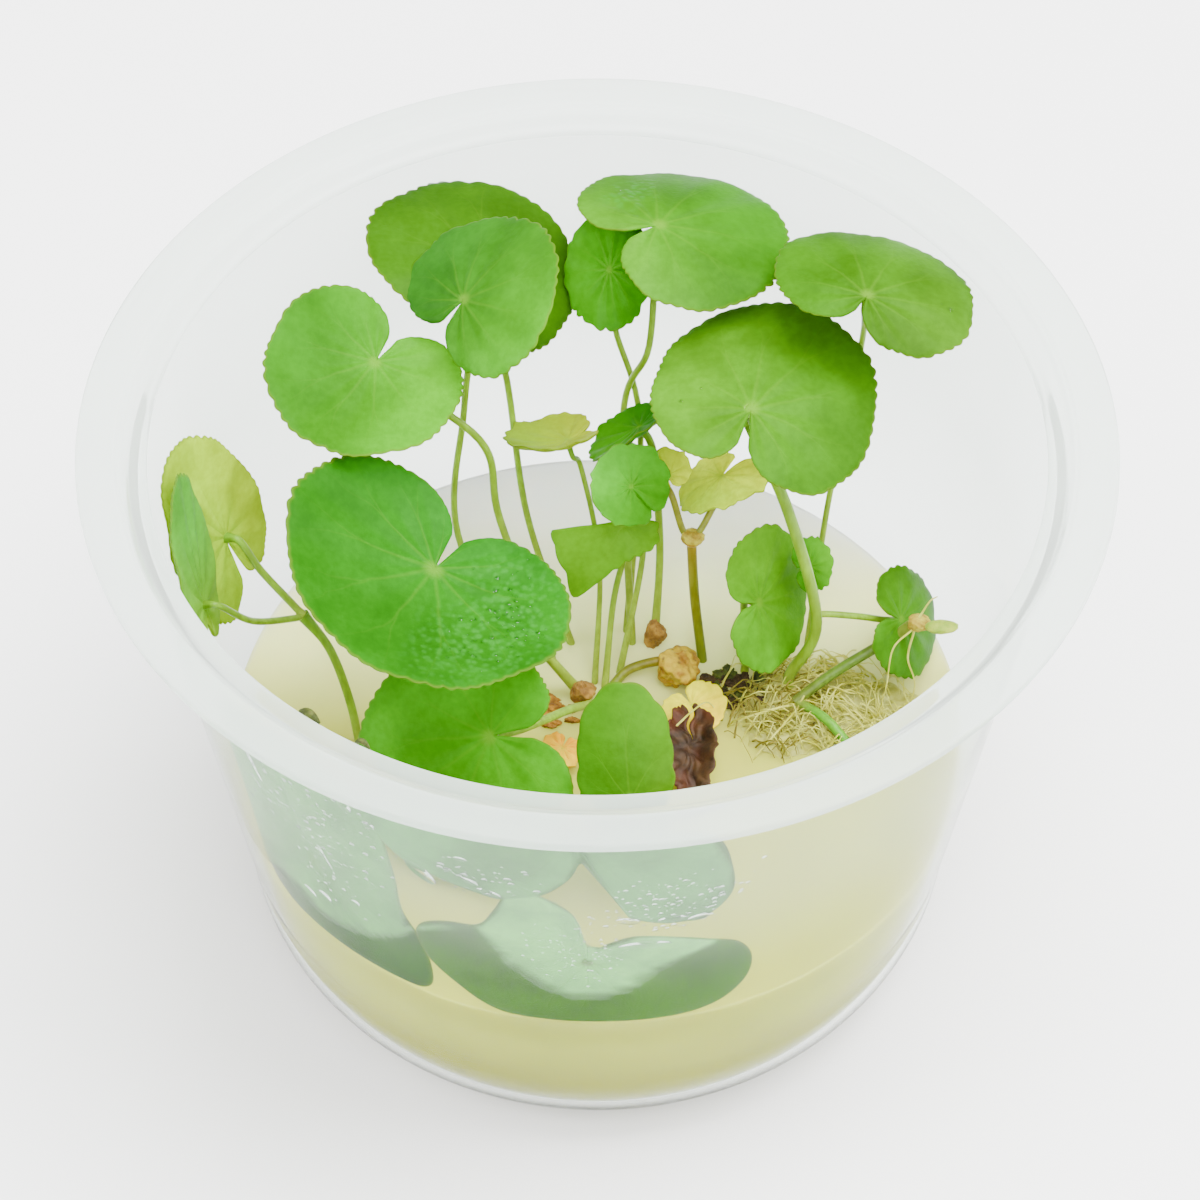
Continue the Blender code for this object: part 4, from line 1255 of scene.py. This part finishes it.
heaps = (
    crumb_heap("crumbs_dark", (13.4, 5.4), (3.6, 2.2), 18, crumb_brown),
    crumb_heap("crumbs_moss", (14.2, 5.8), (3.4, 2.0), 12, crumb_moss),
    crumb_heap("crumbs_rust", (-4.2, 2.6), (2.4, 2.0), 14, crumb_rust),
)
TIP_REACH = 42.9
TIP_HEIGHT = 68.1
# Headings from and to, and half the thickness
RIM_TIPS = ((-39.6, -36.4, 0.42), (-31.0, -29.0, 0.30))
tips = []
for start, stop, thick in RIM_TIPS:
    turns = [math.radians(start + (stop - start) * i / 8) for i in range(9)]
    rises = [TIP_HEIGHT + 0.6 * math.sin(math.pi * i / 8) for i in range(9)]
    route = [(TIP_REACH * math.sin(a), -TIP_REACH * math.cos(a), z) for a, z in zip(turns, rises)]
    tips.append((route, [thick * math.sin(math.pi * (i + 1) / 10) for i in range(9)]))
settle(tubes("leaf_tips_at_rim", tips, crumb_moss, 8), "leaf_green")
print("heaps of", [len(heap.data.polygons) for heap in heaps], "faces;", len(tips), "leaf tips")

# %% [markdown]
# The cup is a turned shape: a flat base, a rounded corner, a straight tapering wall, a small ledge for a
# lid and a flange with a turned-down lip. One closed profile is spun round the axis. The corners of the
# flange are cut to short curves first, because moulded plastic has no sharp corner, and those curves catch
# the light.

# %% Cup shape
TURNED_SEGMENTS = 320


def corner(base, radius, bottom, top, steps=20):
    """The rounded corner between a flat base of radius base and a wall that starts at (radius, top)."""
    turns = [math.pi / 2 * i / steps for i in range(steps + 1)]
    return [(base + (radius - base) * math.sin(a), top - (top - bottom) * math.cos(a)) for a in turns]


def eased(points, cut, steps=5):
    """The profile with each corner cut to a short curve, cut millimetres from it on both sides."""
    points = [np.array(p, float) for p in points]
    route = [points[0]]
    for before, here, after in zip(points, points[1:], points[2:]):
        back, on = before - here, after - here
        back_length, on_length = np.linalg.norm(back), np.linalg.norm(on)
        start = here + back / back_length * min(cut, back_length * 0.45)
        stop = here + on / on_length * min(cut, on_length * 0.45)
        for i in range(steps + 1):
            t = i / steps
            route.append(start * (1 - t) ** 2 + here * 2 * t * (1 - t) + stop * t * t)
    return [*route, points[-1]]


def turned(name, profile, material):
    """A profile of (radius, height), from the axis back to the axis, spun into a closed shape."""
    turns = np.linspace(0, math.tau, TURNED_SEGMENTS + 1)[:-1]
    points, rings = [], []
    for radius, height in profile:
        rings.append(len(points))
        if radius < 1e-6:
            points.append((0, 0, height))
        else:
            points += [(radius * math.cos(a), radius * math.sin(a), height) for a in turns]
    sizes = [1 if radius < 1e-6 else TURNED_SEGMENTS for radius, _ in profile]
    faces = []
    for low, low_size, high, high_size in zip(rings, sizes, rings[1:], sizes[1:]):
        for i in range(TURNED_SEGMENTS):
            j = (i + 1) % TURNED_SEGMENTS
            loop = [low + i % low_size, low + j % low_size, high + j % high_size, high + i % high_size]
            faces.append(list(dict.fromkeys(loop)))
    return smooth_mesh(name, points, faces, material)


print(f"turned shapes have {TURNED_SEGMENTS} segments")

# %% [markdown]
# The plastic is thin, milky polypropylene. What touches it from inside shows sharp, and what stands back is
# blurred. Rough transmission does just that. The fogged inner face is rough and the outer one is nearly
# smooth, and the fog number on the vertices tells them apart. A small share of the light is scattered:
# where the wall is fogged, higher up, where breath has clouded it, and most at the thick rim and at the
# back. A mix of diffuse and translucent gives it.

# %% Cup finish
RIM_MILK = 0.42
CLEAR_PLASTIC = (0.88, 0.93, 0.90, 1)
MILKY_PLASTIC = (0.86, 0.93, 0.88, 1)


def cup_finish():
    """Clear plastic with a share of milk that grows with fog, height and rim."""
    made, tree, place = new_material("cup_plastic")
    fog = add(tree, "ShaderNodeAttribute", attribute_name="fog").outputs["Fac"]
    rim = add(tree, "ShaderNodeAttribute", attribute_name="rim").outputs["Fac"]
    ragged = calc(tree, "MULTIPLY_ADD", calc(tree, "SUBTRACT", noise(tree, place, 700, 3), 0.5), 0.15, fog)
    haze = fade(tree, ragged, 0.30, 0.62)
    rough = fade(tree, haze, 0.0, 1.0, 0.08, 0.26)
    height = add(tree, "ShaderNodeSeparateXYZ", {0: place}).outputs["Z"]
    breath = fade(tree, height, 0.030, 0.050, 0.004, 0.10)
    fog_milk = calc(tree, "MAXIMUM", fade(tree, haze, 0.0, 1.0, 0.004, 0.09), breath)
    milky = calc(tree, "MAXIMUM", fog_milk, calc(tree, "MULTIPLY", rim, RIM_MILK))
    normal = dents(tree, noise(tree, place, 35, 2), 0.0004, 0.25)
    clear = skin(tree, CLEAR_PLASTIC, rough, transmission_weight=1.0, ior=1.06, normal=normal)
    scatter = let_through(tree, 0.5, skin(tree, MILKY_PLASTIC, 0.22), MILKY_PLASTIC)
    return worn(made, add(tree, "ShaderNodeMixShader", {0: milky, 1: clear, 2: scatter}).outputs[0])


cup_plastic = cup_finish()
print("cup finish:", cup_plastic.name)

# %% [markdown]
# The profile runs up the outside, round the flange and down the inside. Each vertex gets its fog and its
# share of milk: the rim's, which fades out below the ledge, and a little less at the back, high up.

# %% Cup shell
LIP_LENGTH = LIP_DROP + 0.5
SHELF = LEDGE_RADIUS + 0.3
THROAT = 4

ledge = CUP_HEIGHT - LEDGE_DEPTH
shoulder = CUP_HEIGHT - SHOULDER_DROP
throat = ledge - THROAT
wall_steps = [i / 44 for i in range(1, 45)]
outer = [(0, 0), *corner(BASE_RADIUS, CORNER_RADIUS, 0, CORNER_HEIGHT)]
outer += [
    (CORNER_RADIUS + (SHOULDER_RADIUS - CORNER_RADIUS) * t, CORNER_HEIGHT + (shoulder - CORNER_HEIGHT) * t)
    for t in wall_steps[:-1]
]
flange = [
    outer[-1],
    (SHOULDER_RADIUS, shoulder),
    (SHOULDER_RADIUS + WALL, CUP_HEIGHT - WALL),
    (FLANGE_RADIUS - WALL, CUP_HEIGHT - WALL),
    (FLANGE_RADIUS - WALL, CUP_HEIGHT - LIP_LENGTH),
    (FLANGE_RADIUS, CUP_HEIGHT - LIP_LENGTH),
    (FLANGE_RADIUS, CUP_HEIGHT),
    (SHELF + 0.3, CUP_HEIGHT),
    (SHELF, CUP_HEIGHT - 0.3),
    (LEDGE_RADIUS, CUP_HEIGHT - 0.3),
    (LEDGE_RADIUS - 0.4, ledge),
    (MOUTH_RADIUS + 0.5, ledge),
    (MOUTH_RADIUS, ledge - 0.3),
    (MOUTH_RADIUS, ledge - 0.9),
    (inner_wall(ledge - THROAT / 2), ledge - THROAT / 2),
    (inner_wall(throat), throat),
]
inner_heights = [throat - (throat - CORNER_HEIGHT) * t for t in wall_steps]
inner = [(inner_wall(height), height) for height in inner_heights]
floor_corner = corner(BASE_RADIUS - WALL / 2, inner_wall(CORNER_HEIGHT), WALL, CORNER_HEIGHT)
profile = [*outer[:-1], *eased(flange, 0.35)[1:-1], *inner[:-1], *reversed(floor_corner), (0, WALL)]
cup = turned("cup_shell", [tuple(p) for p in profile], cup_plastic)
heights = np.array([v.co.z for v in cup.data.vertices]) / MM
reaches = np.array([math.hypot(v.co.x, v.co.y) for v in cup.data.vertices]) / MM
inside = reaches < inner_wall(heights) + 0.05
headings = np.degrees([math.atan2(v.co.x, -v.co.y) for v in cup.data.vertices])
vertex_numbers(cup.data, "fog", np.where(inside, fogged(headings, heights), 0))


def ramp(value, start, length):
    """0 below start and 1 above start and length, with a straight slope between them."""
    return np.clip((value - start) / length, 0, 1)


RIM_FADES = 2.2
rim = ramp(heights, ledge - RIM_FADES, 1.4)
back = ramp(np.abs(headings), 70, 40) * ramp(heights, 30, 20)
vertex_numbers(cup.data, "rim", np.maximum(rim, 0.6 * back))
settle(cup, "cup_plastic", "cup")
print(f"cup shell of {len(cup.data.polygons)} faces, {int(inside.sum())} vertices on the inside")

# %% [markdown]
# The gel is set and cloudy. Its top is yellower cream in front and painted lighter towards the back, nearly
# white there, which is painted light. Its side is darker and browner towards the bottom, and it creeps a
# little up the wall. It is turned like the cup, a hair's breadth inside the wall.
# Subsurface scattering gives its soft glow, and a slight gloss its wet skin.

# %% Gel
GEL_CREEP = 0.25
FRONT_CREAM = (0.43, 0.43, 0.060)
MIDDLE_CREAM_PAINTED_LIGHT = (0.97, 1.0, 0.44)
FAR_WHITE_PAINTED_LIGHT = (1.0, 1.0, 0.84)
SIDE_BROWN = (0.21, 0.185, 0.006)


def gel_finish():
    """Cloudy gel, painted lighter towards the back as painted light, and darker and browner lower down."""
    made, tree, place = new_material("gel")
    spot = add(tree, "ShaderNodeSeparateXYZ", {0: place}).outputs
    # The top is painted lighter and whiter towards the back: painted light.
    top = blend(tree, fade(tree, spot["Y"], -0.003, 0.020), FRONT_CREAM, MIDDLE_CREAM_PAINTED_LIGHT)
    top = blend(tree, fade(tree, spot["Y"], 0.016, 0.032), top, FAR_WHITE_PAINTED_LIGHT)
    colour = blend(tree, fade(tree, spot["Z"], 0.004, 0.025), SIDE_BROWN, top)
    colour = shaded(tree, colour, fade(tree, noise(tree, place, 70, 4), 0.3, 0.7, 0.94, 1.06))
    glow = {"subsurface_weight": 0.6, "subsurface_radius": (0.006, 0.005, 0.003), "subsurface_scale": 1.0}
    normal = dents(tree, noise(tree, place, 120, 3), 0.0003, 0.4)
    return worn(made, skin(tree, colour, 0.22, specular=0.12, normal=normal, **glow))


gel_corner = corner(BASE_RADIUS - 0.6, inner_wall(CORNER_HEIGHT) - 0.06, WALL + 0.06, CORNER_HEIGHT)
edge = inner_wall(GEL_TOP + GEL_CREEP) - 0.05
surface = [(edge, GEL_TOP + GEL_CREEP), (edge - 0.4, GEL_TOP + 0.15), (edge - 1.6, GEL_TOP)]
surface += [(edge * t, GEL_TOP) for t in (0.8, 0.6, 0.4, 0.2)]
gel_body = turned("gel_body", [(0, WALL + 0.06), *gel_corner, *surface, (0, GEL_TOP)], gel_finish())
settle(gel_body, "gel", "gel")
print(f"gel body of {len(gel_body.data.polygons)} faces")

# %% [markdown]
# Breath and gel moisture condense on the inside of the front wall, in clusters. Each wet patch is a small
# grid over the wall, with the wet number highest in its middle, and the beads tree does the rest.

# %% Water beads
APART = 2.2


def water_finish():
    """Clear water, a little dulled."""
    made, tree, place = new_material("water")
    return worn(made, skin(tree, (1, 1, 1, 1), 0.10, transmission_weight=1.0, ior=1.28))


def beaded(name, points, wet, rows, columns, dense, small, large, flatness, stretch, slant, seed):
    """Beads of water on a grid of points. Dense is in beads to a square centimetre, the sizes are radii."""
    patch = smooth_mesh("wet_patch", points, grid_faces(rows, columns), water)
    vertex_numbers(patch.data, "wet", wet)
    settings = {"spacing": small * APART * MM, "density": dense * 1e4, "smallest": small * MM}
    settings |= {"largest": large * MM, "flatness": flatness, "stretch": stretch}
    settings |= {"slant": math.radians(slant), "seed": seed, "material": water}
    drops = grown(name, patch, beads_tree, **settings)
    print(f"{name}: {len(drops.data.polygons) // BEAD_FACES} beads")
    return drops


water = water_finish()
# Headings from and to, heights from and to, then beads to a square centimetre, the smallest and the largest
# bead radius, how much longer than wide a bead is, and its slant
WALL_PATCHES = {
    "left": (-57, -26, 42, 62, 80, 0.08, 0.30, 1.5, -40),
    "left_low": (-52, -30, 34, 52, 70, 0.08, 0.24, 1.2, -30),
    "window_top": (-24, -6, 49, 56, 90, 0.10, 0.30, 1.5, -20),
    "right": (-2, 22, 43, 55, 170, 0.09, 0.28, 1.2, 10),
    "middle": (-11, 5, 33, 48, 190, 0.07, 0.20, 1.0, 0),
}
WALL_BEAD_FLATNESS = 0.30
columns, rows = 24, 12
for seed, (name, patch) in enumerate(WALL_PATCHES.items(), 3):
    start, stop, low, high, dense, small, large, long, slant = patch
    points, wet = [], []
    for r in range(rows + 1):
        for c in range(columns + 1):
            heading = math.radians(start + (stop - start) * c / columns)
            height = low + (high - low) * r / rows
            reach = inner_wall(height)
            points.append((reach * math.sin(heading), -reach * math.cos(heading), height))
            wet.append(math.sin(math.pi * c / columns) * math.sin(math.pi * r / rows))
    bead = (dense, small, large, WALL_BEAD_FLATNESS, long, slant, seed)
    settle(beaded("beads_wall_" + name, points, wet, rows + 1, columns + 1, *bead), "cup_plastic")

# %% [markdown]
# A few drops on the wall are big enough to place one by one. One hangs like a lens over the left window, a
# long one lies over the right leaf and catches the light, and some have started to run down the wall at the
# left.

# %% Big drops
DROP_FLATNESS = 0.36
# Heading and height, half the length and half the width in millimetres, and how far the length slants
BIG_DROPS = (
    (-23.5, 50.8, 1.9, 0.75, -38),
    (6.4, 41.6, 2.6, 0.55, 0),
    (-16.6, 51.6, 0.9, 0.40, -20),
    (-14.2, 50.2, 1.3, 0.45, -15),
    (-17.5, 55.6, 0.7, 0.30, 0),
    (-33.5, 57.5, 0.9, 0.60, -25),
    (-30.0, 56.0, 0.6, 0.45, 0),
    (-51.0, 52.0, 1.7, 0.35, -50),
    (-49.0, 57.0, 1.2, 0.30, -50),
    (-40.0, 44.0, 1.6, 0.25, -55),
    (-42.5, 35.0, 0.9, 0.45, -15),
    (-46.0, 33.5, 0.9, 0.35, -15),
    (-36.0, 38.0, 0.5, 0.35, 0),
    (10.0, 46.2, 1.5, 0.50, 0),
    (13.5, 45.8, 1.1, 0.40, 5),
    (4.0, 46.6, 1.2, 0.45, -10),
)


def drops_on_wall(name, drops):
    """Flat drops of water on the inside of the wall, as one mesh."""
    bm = bmesh.new()
    for heading, height, length, width, slant in drops:
        angle, lean = math.radians(heading), math.radians(slant)
        outward = Vector((math.sin(angle), -math.cos(angle), 0))
        right = Vector((math.cos(angle), math.sin(angle), 0))
        ahead = right * math.cos(lean) + Vector((0, 0, math.sin(lean)))
        across = outward.cross(ahead)
        ball = bmesh.ops.create_icosphere(bm, subdivisions=4, radius=1)
        middle = outward * inner_wall(height) + Vector((0, 0, height))
        for vert in ball["verts"]:
            x, y, z = vert.co
            flat = middle + ahead * x * length + across * y * width
            vert.co = (flat + outward * z * width * DROP_FLATNESS) * MM
    return settle(from_bmesh(name, bm, water), "cup_plastic")


big_drops = drops_on_wall("drops_wall", BIG_DROPS)
print(f"{len(BIG_DROPS)} big drops, {len(big_drops.data.polygons)} faces")

# %% [markdown]
# Fine droplets lie on the right lobe of the big front leaf, and a few on three leaves higher up. Each patch
# is the upper sheet of a blade between two turns and two shares, and the beads tree covers it.

# %% Beads on leaves
# Turns from and to, in degrees, shares from and to, beads to a square centimetre, smallest and largest radius
LEAF_PATCHES = {
    "front_large": (20, 140, 0.30, 0.95, 90, 0.10, 0.30),
    "top_centre": (60, 120, 0.20, 0.75, 12, 0.10, 0.35),
    "top_right": (-110, -40, 0.55, 0.95, 12, 0.10, 0.34),
    "right_large": (60, 130, 0.30, 0.90, 14, 0.07, 0.24),
}
LEAF_BEAD_FLATNESS = 0.34
leaf_seeds = {name: seed for seed, name in enumerate(LOOKS)}
for seed, (name, (start, stop, near, far, *sizes)) in enumerate(LEAF_PATCHES.items(), 20):
    turns = np.radians(np.linspace(start, stop, 41))
    share, turn = np.meshgrid(np.linspace(near, far, 21), turns, indexing="ij")
    middle = blade_grid(LEAVES[name], LOOKS[name], share, turn, leaf_seeds[name])
    points = middle + grid_normals(middle, leaf_axes(LEAVES[name])[2]) * (HALF_THICKNESS + MARGIN_THICKNESS)
    in_turn = np.sin(np.pi * (turn - turns[0]) / (turns[-1] - turns[0]))
    in_share = np.sin(np.pi * (share - near) / (far - near))
    bead = (*sizes, LEAF_BEAD_FLATNESS, 1.0, 0.0, seed)
    wet = (in_turn * in_share).ravel()
    settle(beaded("beads_leaf_" + name, points.reshape(-1, 3), wet, *share.shape, *bead), "leaf_green")

# %% [markdown]
# The stage is a plain pale floor. The light is a dim, even sky with four big soft lamps. The strongest
# hangs overhead, a little to the right and behind, where the photograph's soft shadows on the gel say it
# was.

# %% Floor and light
REACH = 4000
FLOOR_GREY = (0.92, 0.92, 0.92, 1)

floor_material, floor_tree, _ = new_material("floor")
worn(floor_material, skin(floor_tree, FLOOR_GREY, 0.9))
square = [(-REACH, -REACH, 0), (REACH, -REACH, 0), (REACH, REACH, 0), (-REACH, REACH, 0)]
floor = smooth_mesh("floor", square, [(0, 1, 2, 3)], floor_material)

world = bpy.data.worlds.new("sky")
world.use_nodes = True
sky = world.node_tree.nodes["Background"].inputs
sky["Color"].default_value = (1, 1, 1, 1)
sky["Strength"].default_value = 0.5
bpy.context.scene.world = world


def soft_lamp(name, place, size, watts):
    """A square lamp that looks at the middle of the plant."""
    light = bpy.data.lights.new(name, "AREA")
    light.size = size
    light.energy = watts
    made = new_object(name, light)
    made.location = place
    made.rotation_euler = (AIM - Vector(place)).to_track_quat("-Z", "Y").to_euler()
    return made


soft_lamp("lamp_over", (0.27, 0.06, 1.15), 0.9, 52)
soft_lamp("lamp_front", (0.0, -0.9, 1.0), 0.8, 28)
soft_lamp("lamp_left", (-1.1, -0.1, 0.7), 0.9, 24)
soft_lamp("lamp_right", (1.1, -0.1, 0.7), 0.9, 24)
print("floor, sky and four lamps ready")
